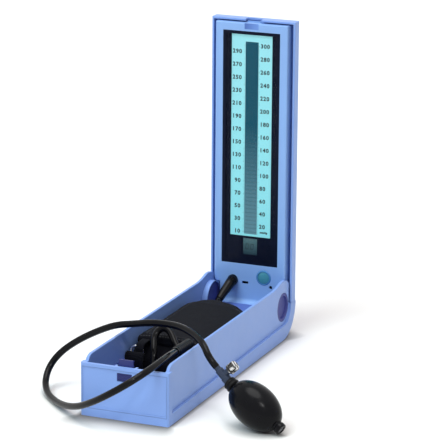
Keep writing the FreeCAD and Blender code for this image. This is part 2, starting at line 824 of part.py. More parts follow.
def display():
    """Lens, black mask, scale plate, the two liquid-crystal cells and the light guide behind them."""
    lens_y = face_y + d.lens_depth
    mask_y = lens_y + d.lens_thick
    plate_y = mask_y + d.mask_thick
    light_y = plate_y + 1.8
    column = (-d.column_half_width, d.column_half_width, d.column_bottom, d.column_top)
    scale = (-d.scale_half_width, d.scale_half_width, d.scale_bottom, d.scale_top)
    readout = (-d.readout_half_width, d.readout_half_width, d.readout_bottom, d.readout_top)
    lens = upright_plate("window_lens", -(d.window_half_width - 0.1), d.window_half_width - 0.1,
                         d.window_bottom + 0.1, d.window_top - 0.1, lens_y, d.lens_thick)
    round_edges(lens, 3, lambda edge: edge.BoundBox.XLength < 0.01 and edge.BoundBox.ZLength < 0.01)
    inside = d.window_half_width - 2.1
    upright_plate("display_mask", -inside, inside, d.window_bottom + 2.1, d.window_top - 2.1,
                  mask_y, d.mask_thick, (scale, readout))
    upright_plate("scale_plate", -(d.scale_half_width + 1), d.scale_half_width + 1, d.scale_bottom - 1,
                  d.scale_top + 1, plate_y, d.plate_thick, (column,))
    upright_plate("column_display", *column, plate_y, 1.6)
    upright_plate("readout_display", -(d.readout_half_width + 0.5), d.readout_half_width + 0.5,
                  d.readout_bottom - 0.5, d.readout_top + 0.3, plate_y, 1.6)
    upright_plate("light_guide", -27, 27, 86, 339, light_y, 2.2)
    board_y = light_y + 2.7
    upright_plate("main_board", -34, 34, 74.5, 338, board_y, 1.6,
                  ((-34.1, -28, 200, 220), (28, 34.1, 200, 220)))
    return board_y


def board_parts(board_y):
    """What sits on the board: pressure sensor, battery, buzzer, socket and the button's switch."""
    back = number(board_y) + 1.6
    sensor = Part.makeBox(11, 4.6, 13, Vector(-25, back, 84))
    nipple = Part.makeCylinder(1.9, 6.5, Vector(-19.5, back + 2.3, 77.6), Vector(0, 0, 1))
    place_shape("pressure_sensor", sensor.fuse(nipple).removeSplitter())
    cell = Part.makeBox(34, 4.8, 52, Vector(-17, back + 0.2, 120))
    rounded = cell.makeFillet(1.6, [edge for edge in cell.Edges if edge.BoundBox.ZLength > 50])
    place_shape("battery_pack", rounded)
    board_front = number(face_y + d.panel_wall)
    buzzer_x = number(d.button_x) + 8.5
    buzzer_z = number(d.button_z) - 10.3
    buzzer_foot = Vector(buzzer_x, board_front + 0.1, buzzer_z)
    place_shape("buzzer", Part.makeCylinder(4.6, 3, buzzer_foot, Vector(0, 1, 0)))
    socket = Part.makeBox(9, 6.5, 4.6, Vector(-9.15, board_front + 0.1, 53.7))
    mouth = Part.makeBox(7.4, 5, 3, Vector(-8.35, board_front, 54.5))
    place_shape("power_socket", socket.cut(mouth))
    lower = Part.makeBox(46, 1.4, 25.5, Vector(-14, board_front + 7.4, 47))
    place_shape("switch_board", lower)
    switch_y = board_front + 7.4
    base = Part.makeBox(6.2, 3.4, 6.2, Vector(number(d.button_x) - 3.1, switch_y - 3.4,
                                              number(d.button_z) - 3.1))
    plunger = Part.makeCylinder(1.7, 0.9, Vector(number(d.button_x), switch_y - 4.2, number(d.button_z)),
                                Vector(0, 1, 0))
    place_shape("button_switch", base.fuse(plunger).removeSplitter())


def power_button():
    """The round key: a domed cap with a collar behind the panel, and the ring round it."""
    depth = 2.2
    front = number(face_y) - 0.5
    radius = number(d.button_radius)
    dome = 0.5
    flange = radius + 1.6
    corners = [(0, front - dome), (0, front + 3.4), (flange, front + 3.4), (flange, front + 2.5),
               (radius, front + 2.5), (radius, front + 0.3)]
    places = [Vector(x, y, 0) for x, y in corners]
    edges = [Part.LineSegment(low, high).toShape() for low, high in zip(places, places[1:])]
    rise = dome + 0.3
    sphere = (radius * radius + rise * rise) / (2 * rise)
    middle = front - dome + sphere - math.sqrt(sphere * sphere - radius * radius / 4)
    edges.append(Part.Arc(places[-1], Vector(radius / 2, middle, 0), places[0]).toShape())
    cap = Part.Face(Part.Wire(edges)).revolve(Vector(0, 0, 0), Vector(0, 1, 0), 360)
    stem = Part.makeCylinder(2, 1.2, Vector(0, front + 3.4, 0), Vector(0, 1, 0))
    cap = cap.fuse(stem).removeSplitter()
    place = Placement(Vector(number(d.button_x), 0, number(d.button_z)), Rotation())
    place_shape("power_button", cap, place)
    outer = number(d.bezel_radius) - 0.02
    inner = radius + 0.25
    rise = 0.6
    ring_profile = Part.makePolygon([
        Vector(inner, front - 0.1, 0), Vector(inner, front + depth, 0), Vector(outer, front + depth, 0),
        Vector(outer, front + rise, 0), Vector(outer - 0.9, front - 0.1, 0), Vector(inner, front - 0.1, 0),
    ])
    ring = Part.Face(ring_profile).revolve(Vector(0, 0, 0), Vector(0, 1, 0), 360)
    place_shape("button_bezel", ring, place)


# ---------------------------------------------------------------- tubes


def tube_path(points):
    """Straight runs joined by tangent arcs that take up 0.45 of the shorter run at each corner."""
    edges = []
    radii = []
    here = points[0]
    for before, corner, after in zip(points, points[1:], points[2:]):
        run_in = corner - before
        run_out = after - corner
        turn = run_in.getAngle(run_out)
        reach = 0.45 * min(run_in.Length, run_out.Length)
        radius = reach / math.tan(turn / 2)
        radii.append(radius)
        into = Vector(run_in).normalize()
        out = Vector(run_out).normalize()
        start = corner - into * reach
        end = corner + out * reach
        inward = (out - into).normalize()
        middle = corner + inward * (radius / math.cos(turn / 2) - radius)
        edges.append(Part.LineSegment(here, start).toShape())
        edges.append(Part.Arc(start, middle, end).toShape())
        here = end
    edges.append(Part.LineSegment(here, points[-1]).toShape())
    return Part.Wire(edges), radii


def tube(label, points, diameter):
    """A round tube along a route; prints its bends and checks its volume against section times length."""
    places = [Vector(*point) for point in points]
    path, radii = tube_path(places)
    start = places[0]
    across = Part.makeCircle(diameter / 2, start, places[1] - start)
    solid = path.makePipeShell([Part.Wire([across])], True, False)
    expected = math.pi * diameter * diameter / 4 * path.Length
    if abs(solid.Volume / expected - 1) > 0.01:
        raise RuntimeError(f"{label} has {solid.Volume:.0f} mm3 instead of {expected:.0f}")
    print(f"{label}: {path.Length:.0f} mm long, radii {[round(radius) for radius in radii]}")
    place_shape(label, solid)
    return solid


# The bulb's hose: from the sleeve on the cuff over the front wall, down to the table at the left, up in a
# wide loop, across both side walls and down to the valve.
BULB_HOSE = [
    (31.4, -121, 61),
    (34.4, -140.5, 64),
    (35.6, -160.5, 64.8),
    (34, -184, 63),
    (28, -204.5, 58.5),
    (15.5, -215.5, 50),
    (-1.5, -216.5, 39),
    (-21, -209.5, 27),
    (-42.5, -196.5, 15.5),
    (-64.5, -179.5, 8),
    (-85.5, -160, 4),
    (-104, -141, 4),
    (-116, -122.5, 10),
    (-118.5, -107, 21.5),
    (-110.5, -98, 35),
    (-93, -95.5, 49),
    (-69.5, -97.5, 63),
    (-45, -100.5, 74.5),
    (-27, -98, 77),
    (-10, -94.5, 79.5),
    (9, -95, 81),
    (29, -102, 82.5),
    (49.5, -114.5, 80.5),
    (66.5, -129.5, 76.5),
    (76.4, -139.3, 65.8),
    (84.72, -139, 57.17),
]

# The gauge's hose: from the elbow on the panel through the notch in the bulkhead, under the cuff to the
# front and up in an arch to the front edge of the cuff.
GAUGE_HOSE = [
    (-20.41, 150.66, 54.83),
    (-22.2, 141.8, 49.15),
    (-23.8, 132.5, 43.5),
    (-24.5, 123, 38.5),
    (-24.3, 113.5, 33.5),
    (-23.5, 105.5, 25.5),
    (-22.5, 101, 15.5),
    (-21, 92.5, 8.9),
    (-20, 78, 8.5),
    (-20.5, 50, 8.5),
    (-20, 5, 8.5),
    (-20.5, -35, 8.5),
    (-19.5, -60, 8.6),
    (-17, -72, 9.2),
    (-12.5, -82.5, 14),
    (-10, -86, 25),
    (-9.5, -82, 37),
    (-12.5, -75.5, 45.5),
    (-16, -67.5, 53),
    (-15.3, -61.5, 59.8),
    (-10, -58, 63.6),
    (-3.5, -58.5, 62.8),
    (2.5, -62, 58.3),
    (7.2, -66.8, 52.8),
    (12.2, -70.6, 48),
]


def hoses():
    """Both rubber hoses."""
    tube("bulb_hose", BULB_HOSE, number(d.hose_diameter))
    tube("gauge_hose", GAUGE_HOSE, number(d.hose_diameter))


def inlet_elbow():
    """The hose nipple on the panel: a flange, a short pipe through the panel and the inclined barb."""
    x = number(d.inlet_x)
    z = number(d.inlet_z)
    y = number(face_y)
    end = Vector(*GAUGE_HOSE[0])
    away = (Vector(*GAUGE_HOSE[1]) - end).normalize()
    root_point = end - away * 6.5
    flange = Part.makeCylinder(5.6, 1.4, Vector(x, y - 1.4, z), Vector(0, 1, 0))
    pipe = Part.makeCylinder(3.5, 9, Vector(x, y - 2.4, z), Vector(0, 1, 0))
    ball = Part.makeSphere(3.5, root_point)
    barb = Part.makeCylinder(3.5, 6.42, root_point, away)
    bore = Part.makeCylinder(1.2, 20, Vector(x, y - 2.4, z), Vector(0, 1, 0))
    place_shape("inlet_elbow", flange.fuse([pipe, ball, barb]).cut(bore).removeSplitter())


def sensor_tube():
    """The short silicone tube between the elbow and the pressure sensor, inside the housing."""
    x = number(d.inlet_x)
    y = number(face_y) + 6.6
    z = number(d.inlet_z)
    points = [(x, y, z), (x, y + 3.3, z + 0.9), (x - 0.1, y + 4.1, z + 5.4), (x - 0.2, y + 4.1, 77.6)]
    tube("sensor_tube", points, 3.6)


# ---------------------------------------------------------------- cuff


def cuff():
    """The folded cuff: a cloth wrap bent round its bladder, with a channel for the hose beneath it."""
    body = new_body("cuff_wrap")
    front = d.cuff_front
    back = d.cuff_back
    low = d.cuff_bottom
    top = d.cuff_top
    ply = d.cuff_ply
    half = (top - low) / 2
    middle = low + half
    section = outline(sketch_on(body, "YZ_Plane"), [
        (front + half, low),
        (back - 4, low),
        (back, low + 4),
        (back, low + ply),
        (front + half, low + ply),
        (front + ply, middle),
        (front + half, top - ply),
        (back, top - ply),
        (back, top - 4),
        (back - 4, top),
        (front + half, top),
        (front, middle),
    ], {4: (half - ply, False), 5: (half - ply, False), 10: (half, True), 11: (half, True)})
    pad(body, section, d.cuff_half_width * 2)
    channel = box_outline(sketch_on(body, "XY_Plane", low), -27, -12.5, front - 2, back + 2)
    pocket(body, channel, 10, both_ways=False, away=True)
    bladder = new_body("cuff_bladder")
    inside = outline(sketch_on(bladder, "YZ_Plane"), [
        (front + half, low + ply),
        (back - 6, low + ply),
        (back - 6, top - ply),
        (front + half, top - ply),
        (front + ply, middle),
    ], {3: (half - ply, True), 4: (half - ply, True)})
    pad(bladder, inside, (d.cuff_half_width - 4) * 2)
    flap = new_body("cuff_flap")
    leaf = outline(sketch_on(flap, "YZ_Plane"), [
        (-60, d.cuff_top), (d.cuff_back, d.cuff_top), (d.flap_back, d.cuff_top - 1.5),
        (d.flap_back + 1, d.cuff_top + 1), (d.flap_back - 2, d.cuff_top + 3),
        (d.cuff_back - 20, d.flap_top), (-58, d.flap_top), (-61.5, d.flap_top - 2.5),
        (-61.5, d.cuff_top + 1.5),
    ])
    pad(flap, leaf, d.cuff_half_width * 2)
    round_edges(flap, 2, lambda edge: on_side(edge, d.cuff_half_width)
                and edge.BoundBox.ZMin > number(d.flap_top) - 0.01)
    beyond = d.flap_back + 3
    turn_x = d.cuff_half_width - d.flap_corner
    turn_y = d.flap_back + 1 - d.flap_corner
    corner = outline(sketch_on(flap, "XY_Plane", d.cuff_top), [
        (d.cuff_half_width, turn_y),
        (d.cuff_half_width + 1, turn_y),
        (d.cuff_half_width + 1, beyond),
        (turn_x, beyond),
        (turn_x, d.flap_back + 1),
    ], {4: (d.flap_corner, False)})
    mirror(flap, [pocket(flap, corner, 20)])


def cuff_d_ring():
    """The metal ring at the cuff's edge, standing against the front fold."""
    width = 13
    height = 23
    bend = 5
    wire_radius = 1.3
    corners = [Vector(0, 0, bend), Vector(0, 0, height - bend), Vector(bend, 0, height),
               Vector(width - bend, 0, height), Vector(width, 0, height - bend), Vector(width, 0, bend),
               Vector(width - bend, 0, 0), Vector(bend, 0, 0)]
    centres = [Vector(bend, 0, height - bend), Vector(width - bend, 0, height - bend),
               Vector(width - bend, 0, bend), Vector(bend, 0, bend)]
    edges = []
    for place in range(4):
        low, high = corners[place * 2], corners[place * 2 + 1]
        after = corners[(place * 2 + 2) % 8]
        centre = centres[place]
        middle = centre + ((high + after) / 2 - centre).normalize() * bend
        edges.append(Part.LineSegment(low, high).toShape())
        edges.append(Part.Arc(high, middle, after).toShape())
    across = Part.makeCircle(wire_radius, corners[0], Vector(0, 0, 1))
    ring = Part.Wire(edges).makePipeShell([Part.Wire([across])], True, False)
    lean = Rotation(Vector(1, 0, 0), -14)
    place_shape("cuff_d_ring", ring, Placement(Vector(-38.5, -79.4, 23), lean))


def hose_sleeve(label, tip, inward, length, diameter):
    """A ribbed rubber sleeve where a hose leaves the cuff, tapering towards the hose."""
    radius = diameter / 2 + 1.5
    ribs = max(2, round(length / 7.2))
    pitch = length / (ribs + 1)
    profile = [Vector(0, 0, 0), Vector(radius * 0.86, 0, 0)]
    for rib in range(ribs):
        low = pitch * (rib + 0.6)
        swell = radius + 0.5 * rib / ribs
        profile += [Vector(swell - 0.6, 0, low), Vector(swell, 0, low + pitch * 0.2),
                    Vector(swell, 0, low + pitch * 0.55), Vector(swell - 0.6, 0, low + pitch * 0.75)]
    profile += [Vector(radius, 0, length), Vector(0, 0, length), Vector(0, 0, 0)]
    solid = Part.Face(Part.makePolygon(profile)).revolve(Vector(0, 0, 0), Vector(0, 0, 1), 360)
    place_shape(label, solid, Placement(Vector(*tip), Rotation(Vector(0, 0, 1), Vector(*inward))))


def hose_sleeves():
    """The sleeves of both hoses."""
    sleeves = (("bulb_hose_sleeve", BULB_HOSE, 58), ("gauge_hose_sleeve", GAUGE_HOSE[::-1], 6.5))
    for label, route, length in sleeves:
        inward = Vector(*route[0]) - Vector(*route[1])
        hose_sleeve(label, route[0], tuple(inward), length, number(d.hose_diameter))


# ---------------------------------------------------------------- bulb and valve

BULB_AXIS = Vector(-0.8487, 0.2434, 0.4695).normalize()
BULB_CENTRE = Vector(130.4, -147.2, 24.6)
VALVE_AXIS = Vector(-0.6955, -0.0229, 0.7182).normalize()
VALVE_FOOT = Vector(99.9, -138.5, 41.5)
VALVE_LENGTH = 21.8
SCREW_HEIGHT = 11
SCREW_AXIS = Vector(0.7162, 0.0585, 0.6954).normalize()


def turned(profile):
    """A solid turned round Z from points in the XZ plane."""
    points = [Vector(x, 0, z) for x, z in profile]
    return Part.Face(Part.makePolygon(points + [points[0]])).revolve(Vector(0, 0, 0), Vector(0, 0, 1), 360)


def bulb():
    """The pear-shaped bulb with its neck, and the intake valve's ring at its tail."""
    half = number(d.bulb_length) / 2
    radius = number(d.bulb_diameter) / 2
    neck = 6.2
    neck_z = half * math.sqrt(1 - (neck / radius) ** 2)
    tail = 5
    tail_z = -half * math.sqrt(1 - (tail / radius) ** 2)
    curve = []
    steps = 9
    low = math.asin(tail_z / half)
    high = math.asin(neck_z / half)
    for step in range(steps + 1):
        angle = low + (high - low) * step / steps
        curve.append(Vector(radius * math.cos(angle), 0, half * math.sin(angle)))
    flank = Part.BSplineCurve()
    flank.interpolate(curve)
    edges = [
        Part.LineSegment(Vector(0, 0, tail_z - 2), Vector(tail, 0, tail_z - 2)).toShape(),
        Part.LineSegment(Vector(tail, 0, tail_z - 2), curve[0]).toShape(),
        flank.toShape(),
        Part.LineSegment(curve[-1], Vector(neck, 0, neck_z + 4)).toShape(),
        Part.LineSegment(Vector(neck, 0, neck_z + 4), Vector(0, 0, neck_z + 4)).toShape(),
        Part.LineSegment(Vector(0, 0, neck_z + 4), Vector(0, 0, tail_z - 2)).toShape(),
    ]
    solid = Part.Face(Part.Wire(edges)).revolve(Vector(0, 0, 0), Vector(0, 0, 1), 360)
    wall = 2.6
    stretch = FreeCAD.Matrix()
    stretch.scale(radius - wall, radius - wall, half - wall)
    hollow = Part.makeSphere(1).transformGeometry(stretch)
    solid = solid.cut(hollow).cut(Part.makeCylinder(2, half + 10))
    placement = Placement(BULB_CENTRE, Rotation(Vector(0, 0, 1), BULB_AXIS))
    place_shape("bulb", solid, placement)
    ring = turned([(0, tail_z - 2), (4.6, tail_z - 2), (5.4, tail_z - 3), (5.4, tail_z - 5.2),
                   (4.4, tail_z - 6), (2.2, tail_z - 6), (1.6, tail_z - 4.4), (0, tail_z - 4.4)])
    place_shape("intake_valve", ring, placement)
    return neck_z


def valve(neck_z):
    """The release valve: neck collar, turned body with hose stub and the screw's side boss."""
    collar_low = BULB_CENTRE + BULB_AXIS * (neck_z + 4)
    collar = Part.makeSphere(6.6, collar_low + BULB_AXIS * 1.5)
    keep = Part.makeCylinder(9, 20, collar_low, BULB_AXIS)
    collar = collar.common(keep)
    upright = Placement(VALVE_FOOT, Rotation(SCREW_AXIS, VALVE_AXIS.cross(SCREW_AXIS), VALVE_AXIS, "ZXY"))
    body = turned([(0, -1), (4.9, -1), (4.9, 8.2), (4.3, 9), (4.3, VALVE_LENGTH - 4), (3.3, VALVE_LENGTH - 3),
                   (3.3, VALVE_LENGTH), (0, VALVE_LENGTH)])
    boss = Part.makeCylinder(3.4, 8.2, Vector(0, 0, SCREW_HEIGHT), Vector(1, 0, 0))
    body = body.fuse(boss)
    body.Placement = upright
    collar = collar.cut(body)
    body = body.cut(Part.makeCylinder(1.65, 12, upright.multVec(Vector(2.6, 0, SCREW_HEIGHT)), SCREW_AXIS))
    place_shape("valve_body", body.removeSplitter())
    place_shape("neck_collar", collar)
    stem = Part.makeCylinder(1.6, 6.2, Vector(0, 0, 2.9))
    head = turned([(0, 8.6), (4.6, 8.6), (5.6, 9.2), (5.6, 10.6), (4.9, 11), (4.9, 11.6), (5.5, 12),
                   (5.5, 17), (4.8, 17.8), (0, 17.8)])
    flutes = 16
    for flute in range(flutes):
        angle = 2 * math.pi * flute / flutes
        groove = Part.makeCylinder(0.55, 7, Vector(5.75 * math.cos(angle), 5.75 * math.sin(angle), 11.6))
        head = head.cut(groove)
    knob = head.fuse(stem)
    centre = upright.multVec(Vector(0, 0, SCREW_HEIGHT))
    place_shape("valve_knob", knob.removeSplitter(), Placement(centre, Rotation(Vector(0, 0, 1), SCREW_AXIS)))


# ---------------------------------------------------------------- build and write


def build():
    """Make every piece."""
    base_shell()
    accessory_tray()
    foot_pads()
    base_screws()
    latch_lever()
    latch_pin()
    latch_spring()
    lid_cover()
    lid_screws()
    hinge_caps()
    panel_housing()
    board_y = display()
    board_parts(board_y)
    power_button()
    hoses()
    inlet_elbow()
    sensor_tube()
    cuff()
    cuff_d_ring()
    hose_sleeves()
    valve(bulb())


def write():
    """Check every object and write each piece to its own file."""
    doc.recompute()
    for thing in doc.Objects:
        if "Invalid" in thing.State or "Error" in thing.State:
            raise RuntimeError(f"{thing.Label} failed: {thing.State}")
    os.makedirs("parts", exist_ok=True)
    for node in nodes:
        shape = node.Shape
        if shape.isNull() or not shape.isValid():
            raise RuntimeError(f"{node.Label} has no valid shape")
        shape.exportStep(os.path.join("parts", f"{node.Label}.step"))
        print(f"{node.Label}: {len(shape.Solids)} solid(s), {shape.Volume / 1000:.2f} cm3")


build()
write()
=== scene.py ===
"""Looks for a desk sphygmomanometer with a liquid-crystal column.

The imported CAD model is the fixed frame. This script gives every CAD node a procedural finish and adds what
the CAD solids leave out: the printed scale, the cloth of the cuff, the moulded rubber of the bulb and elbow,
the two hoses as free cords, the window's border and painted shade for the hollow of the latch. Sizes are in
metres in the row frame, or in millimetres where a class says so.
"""

from __future__ import annotations

import json
import logging
import math
from dataclasses import dataclass
from enum import Enum

import bpy
import numpy as np
from mathutils import Matrix, Vector
from mathutils.bvhtree import BVHTree

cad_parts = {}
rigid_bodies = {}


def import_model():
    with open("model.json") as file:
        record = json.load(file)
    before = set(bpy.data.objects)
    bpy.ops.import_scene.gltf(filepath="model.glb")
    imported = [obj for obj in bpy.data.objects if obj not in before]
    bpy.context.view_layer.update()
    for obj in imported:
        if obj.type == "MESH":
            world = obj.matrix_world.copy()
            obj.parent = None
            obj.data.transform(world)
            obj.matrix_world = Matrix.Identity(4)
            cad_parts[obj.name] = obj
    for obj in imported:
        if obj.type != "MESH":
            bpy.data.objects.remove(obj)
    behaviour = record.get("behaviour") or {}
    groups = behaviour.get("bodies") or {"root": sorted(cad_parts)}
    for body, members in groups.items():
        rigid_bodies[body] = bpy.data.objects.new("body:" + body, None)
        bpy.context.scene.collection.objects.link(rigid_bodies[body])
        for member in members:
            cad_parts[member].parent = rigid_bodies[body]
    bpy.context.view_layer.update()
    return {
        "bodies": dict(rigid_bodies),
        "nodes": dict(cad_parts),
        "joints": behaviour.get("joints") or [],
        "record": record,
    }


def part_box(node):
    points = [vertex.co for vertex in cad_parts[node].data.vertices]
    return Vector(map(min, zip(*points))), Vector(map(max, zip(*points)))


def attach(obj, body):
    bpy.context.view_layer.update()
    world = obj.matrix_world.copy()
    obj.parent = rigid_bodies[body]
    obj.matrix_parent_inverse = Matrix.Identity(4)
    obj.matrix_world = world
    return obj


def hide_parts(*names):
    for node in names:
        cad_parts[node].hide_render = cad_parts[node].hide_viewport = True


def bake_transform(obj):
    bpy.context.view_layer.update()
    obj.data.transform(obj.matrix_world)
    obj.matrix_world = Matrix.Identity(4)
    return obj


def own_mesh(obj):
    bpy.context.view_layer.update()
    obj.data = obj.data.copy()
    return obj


LOG = logging.getLogger("sphygmomanometer")
MM = 0.001
WAVE_PERIOD = 0.314  # metres between the bands of a wave texture of scale 1
GRAIN = 5200  # cells per metre of the fine grain in moulded plastic
Colour = tuple[float, float, float]
Point = tuple[float, float, float]
Outline = tuple[tuple[float, float], ...]
Socket = bpy.types.NodeSocket
Node = bpy.types.Node
Material = bpy.types.Material
Piece = bpy.types.Object


def linear(red: float, green: float, blue: float) -> Colour:
    """Linear colour from sRGB values of 0 to 255.

    Args:
        red: red value.
        green: green value.
        blue: blue value.

    Returns:
        The three linear values.
    """
    values = np.array([red, green, blue]) / 255
    low = values / 12.92
    high = ((values + 0.055) / 1.055) ** 2.4
    return tuple(float(v) for v in np.where(values <= 0.04045, low, high))


# ------------------------------------------------------------------ shader building


class Sheet:
    """A node material, or the world, under construction."""

    def __init__(self, name: str, world: bool = False) -> None:
        """Start an empty node tree.

        Args:
            name: the material's name.
            world: whether it is the world instead of a material.
        """
        library = bpy.data.worlds if world else bpy.data.materials
        self.material = library.new(name)
        self.material.use_nodes = True
        self.tree = self.material.node_tree
        self.tree.nodes.clear()
        self.output = self.node("OutputWorld" if world else "OutputMaterial")
        self.place = self.node("TexCoord").outputs

    def node(self, kind: str, **settings: object) -> Node:
        """Add a node.

        Args:
            kind: node type without the ShaderNode prefix.
            **settings: properties, and input values whose names start with a capital letter.

        Returns:
            The new node.
        """
        made = self.tree.nodes.new("ShaderNode" + kind)
        for key, value in settings.items():
            if key[0].isupper():
                made.inputs[key.replace("_", " ")].default_value = value
            else:
                setattr(made, key, value)
        return made

    def link(self, source: Socket, target: Socket) -> None:
        """Join an output socket to an input socket."""
        self.tree.links.new(source, target)

    def axes(self, space: str = "Object") -> bpy.types.NodeOutputs:
        """The surface point's coordinates.

        Args:
            space: the piece's own space, or another kind of texture coordinate.

        Returns:
            Value sockets named X, Y and Z.
        """
        split = self.node("SeparateXYZ")
        self.link(self.place[space], split.inputs[0])
        return split.outputs

    def noise(self, scale: float, detail: float) -> Socket:
        """Value noise over the piece.

        Args:
            scale: cells per metre.
            detail: octaves.

        Returns:
            A value socket from 0 to 1.
        """
        texture = self.node("TexNoise", Scale=scale, Detail=detail, Roughness=0.6)
        self.link(self.place["Object"], texture.inputs["Vector"])
        return texture.outputs["Fac"]

    def bands(self, width: float, direction: str = "X", waver: float = 0.0,
              turn: Point = (0, 0, 0)) -> Socket:
        """Soft parallel bands, a sine of the distance across them.

        Args:
            width: metres across one light or dark band.
            direction: the axis across the bands.
            waver: how far they stray from straight.
            turn: angles about X, Y and Z that tilt them.

        Returns:
            A value socket from 0 to 1.
        """
        wave = self.node("TexWave", wave_type="BANDS", bands_direction=direction,
                         Scale=WAVE_PERIOD / width / 2, Distortion=waver)
        mapping = self.node("Mapping", Rotation=turn)
        self.link(self.place["Object"], mapping.inputs["Vector"])
        self.link(mapping.outputs["Vector"], wave.inputs["Vector"])
        return wave.outputs["Fac"]

    def calc(self, operation: str, *terms: Socket | float) -> Socket:
        """Arithmetic on values.

        Args:
            operation: the math node's operation.
            *terms: sockets or numbers.

        Returns:
            The result socket.
        """
        made = self.node("Math", operation=operation)
        for socket, term in zip(made.inputs, terms):
            if isinstance(term, Socket):
                self.link(term, socket)
            else:
                socket.default_value = term
        return made.outputs[0]

    def ramp(self, value: Socket, low: float, high: float, first: float, second: float) -> Socket:
        """Map a value from one range to another, clamped.

        Args:
            value: the value socket.
            low: input low end.
            high: input high end.
            first: output at the low end.
            second: output at the high end.

        Returns:
            The mapped value socket.
        """
        mapped = self.node("MapRange")
        for index, number in enumerate((low, high, first, second), start=1):
            mapped.inputs[index].default_value = number
        self.link(value, mapped.inputs[0])
        return mapped.outputs[0]

    def mix(self, factor: Socket, first: Colour, second: Colour) -> Socket:
        """Blend two colours.

        Args:
            factor: the blend value socket.
            first: colour at 0.
            second: colour at 1.

        Returns:
            A colour socket.
        """
        blend = self.node("Mix", data_type="RGBA")
        blend.inputs[6].default_value = (*first, 1)
        blend.inputs[7].default_value = (*second, 1)
        self.link(factor, blend.inputs[0])
        return blend.outputs[2]

    def dim(self, colour: Socket, factor: Socket) -> Socket:
        """A colour times a value.

        Args:
            colour: the colour socket.
            factor: the value socket.

        Returns:
            A colour socket.
        """
        scaled = self.node("VectorMath", operation="SCALE")
        self.link(colour, scaled.inputs[0])
        self.link(factor, scaled.inputs["Scale"])
        return scaled.outputs[0]

    def bump(self, height: Socket, depth: float, strength: float, onto: Socket | None = None) -> Socket:
        """A bumped normal.

        Args:
            height: the height value socket, 0 to 1.
            depth: real depth in metres.
            strength: how much of it shows.
            onto: a normal to start from.

        Returns:
            A normal socket.
        """
        bumped = self.node("Bump", Distance=depth, Strength=strength)
        self.link(height, bumped.inputs["Height"])
        if onto is not None:
            self.link(onto, bumped.inputs["Normal"])
        return bumped.outputs["Normal"]

    def soft_edges(self, radius: float) -> Socket:
        """A normal that rounds sharp edges by a radius in metres."""
        return self.node("Bevel", samples=4, Radius=radius).outputs["Normal"]

    def principled(self, colour: Colour, roughness: float, specular: float = 0.5,
                   **settings: object) -> Node:
        """Add the surface shader and join it to the output.

        Args:
            colour: its base colour.
            roughness: its roughness.
            specular: its specular level.
            **settings: other input values.

        Returns:
            The shader node.
        """
        shader = self.node("BsdfPrincipled", Base_Color=(*colour, 1), Roughness=roughness, **settings)
        shader.inputs["Specular IOR Level"].default_value = specular
        self.link(shader.outputs[0], self.output.inputs["Surface"])
        return shader

    def roughen(self, shader: Node, scale: float, detail: float, *span: float) -> None:
        """Let noise change the roughness: the span is its low and high end and the roughness at each."""
        self.link(self.ramp(self.noise(scale, detail), *span), shader.inputs["Roughness"])


# ------------------------------------------------------------------ finishes


def tinted(colour: Colour, factor: float, plus: float = 0.0) -> Colour:
    """A paler or deeper colour: each value times a factor, plus a little, at most 1."""
    return tuple(min(1, c * factor + plus) for c in colour)


@dataclass(frozen=True)
class Finish:
    """A procedural finish with one main colour."""

    name: str
    colour: Colour

    def lay(self, sheet: Sheet) -> None:
        """Add the finish's nodes to an empty material."""
        raise NotImplementedError

    def build(self) -> Material:
        """Make the material.

        Returns:
            The finished material.
        """
        sheet = Sheet(self.name)
        self.lay(sheet)
        return sheet.material


@dataclass(frozen=True)
class Moulded(Finish):
    """Injection-moulded plastic with a fine grain, a slight unevenness and softened edges."""

    roughness: float = 0.36
    grain: float = 0.00002
    edge: float = 0.00035
    specular: float = 0.28
    field: tuple[float, float, float, float] | None = None  # half width, low and high Z, greatest Y
    groove: tuple[float, float] = (0.00012, 0.00045)  # distances from its middle to full and to no depth
    groove_depth: float = 0.0005
    groove_shade: float = 0.72
    clouds: float = 14  # cells per metre of the unevenness in colour
    smudges: float = 60  # the same in roughness

    def seam(self, sheet: Sheet) -> Socket:
        """The groove round a rectangular field: how near a point is to the rectangle's edge.

        Args:
            sheet: the material under construction.

        Returns:
            A value socket, 1 in the groove and 0 beside it and on faces beyond the field's Y.
        """
        half_width, low, high, before = self.field
        axes = sheet.axes()
        outside = []
        for axis, middle, half in (("X", 0, half_width), ("Z", (low + high) / 2, (high - low) / 2)):
            offset = sheet.calc("SUBTRACT", axes[axis], middle)
            outside.append(sheet.calc("SUBTRACT", sheet.calc("ABSOLUTE", offset), half))
        distance = sheet.calc("ABSOLUTE", sheet.calc("MAXIMUM", *outside))
        groove = sheet.ramp(distance, *self.groove, 1, 0)
        return sheet.calc("MULTIPLY", groove, sheet.calc("LESS_THAN", axes["Y"], before))

    def lay(self, sheet: Sheet) -> None:
        """Add the finish's nodes.

        Args:
            sheet: the material under construction.
        """
        shader = sheet.principled(self.colour, self.roughness, self.specular)
        colour = sheet.mix(sheet.noise(self.clouds, 2), tinted(self.colour, 0.93), tinted(self.colour, 1.05))
        rounded = sheet.soft_edges(self.edge)
        if self.field:
            seam = self.seam(sheet)
            # painted shade: the groove round the field is darkened as well as bumped
            colour = sheet.dim(colour, sheet.ramp(seam, 0, 1, 1, self.groove_shade))
            rounded = sheet.bump(sheet.ramp(seam, 0, 1, 1, 0), self.groove_depth, 0.8, rounded)
        sheet.link(colour, shader.inputs["Base Color"])
        sheet.roughen(shader, self.smudges, 4, 0.35, 0.7, self.roughness - 0.05, self.roughness + 0.07)
        sheet.link(sheet.bump(sheet.noise(GRAIN, 1), self.grain, 0.5, rounded), shader.inputs["Normal"])


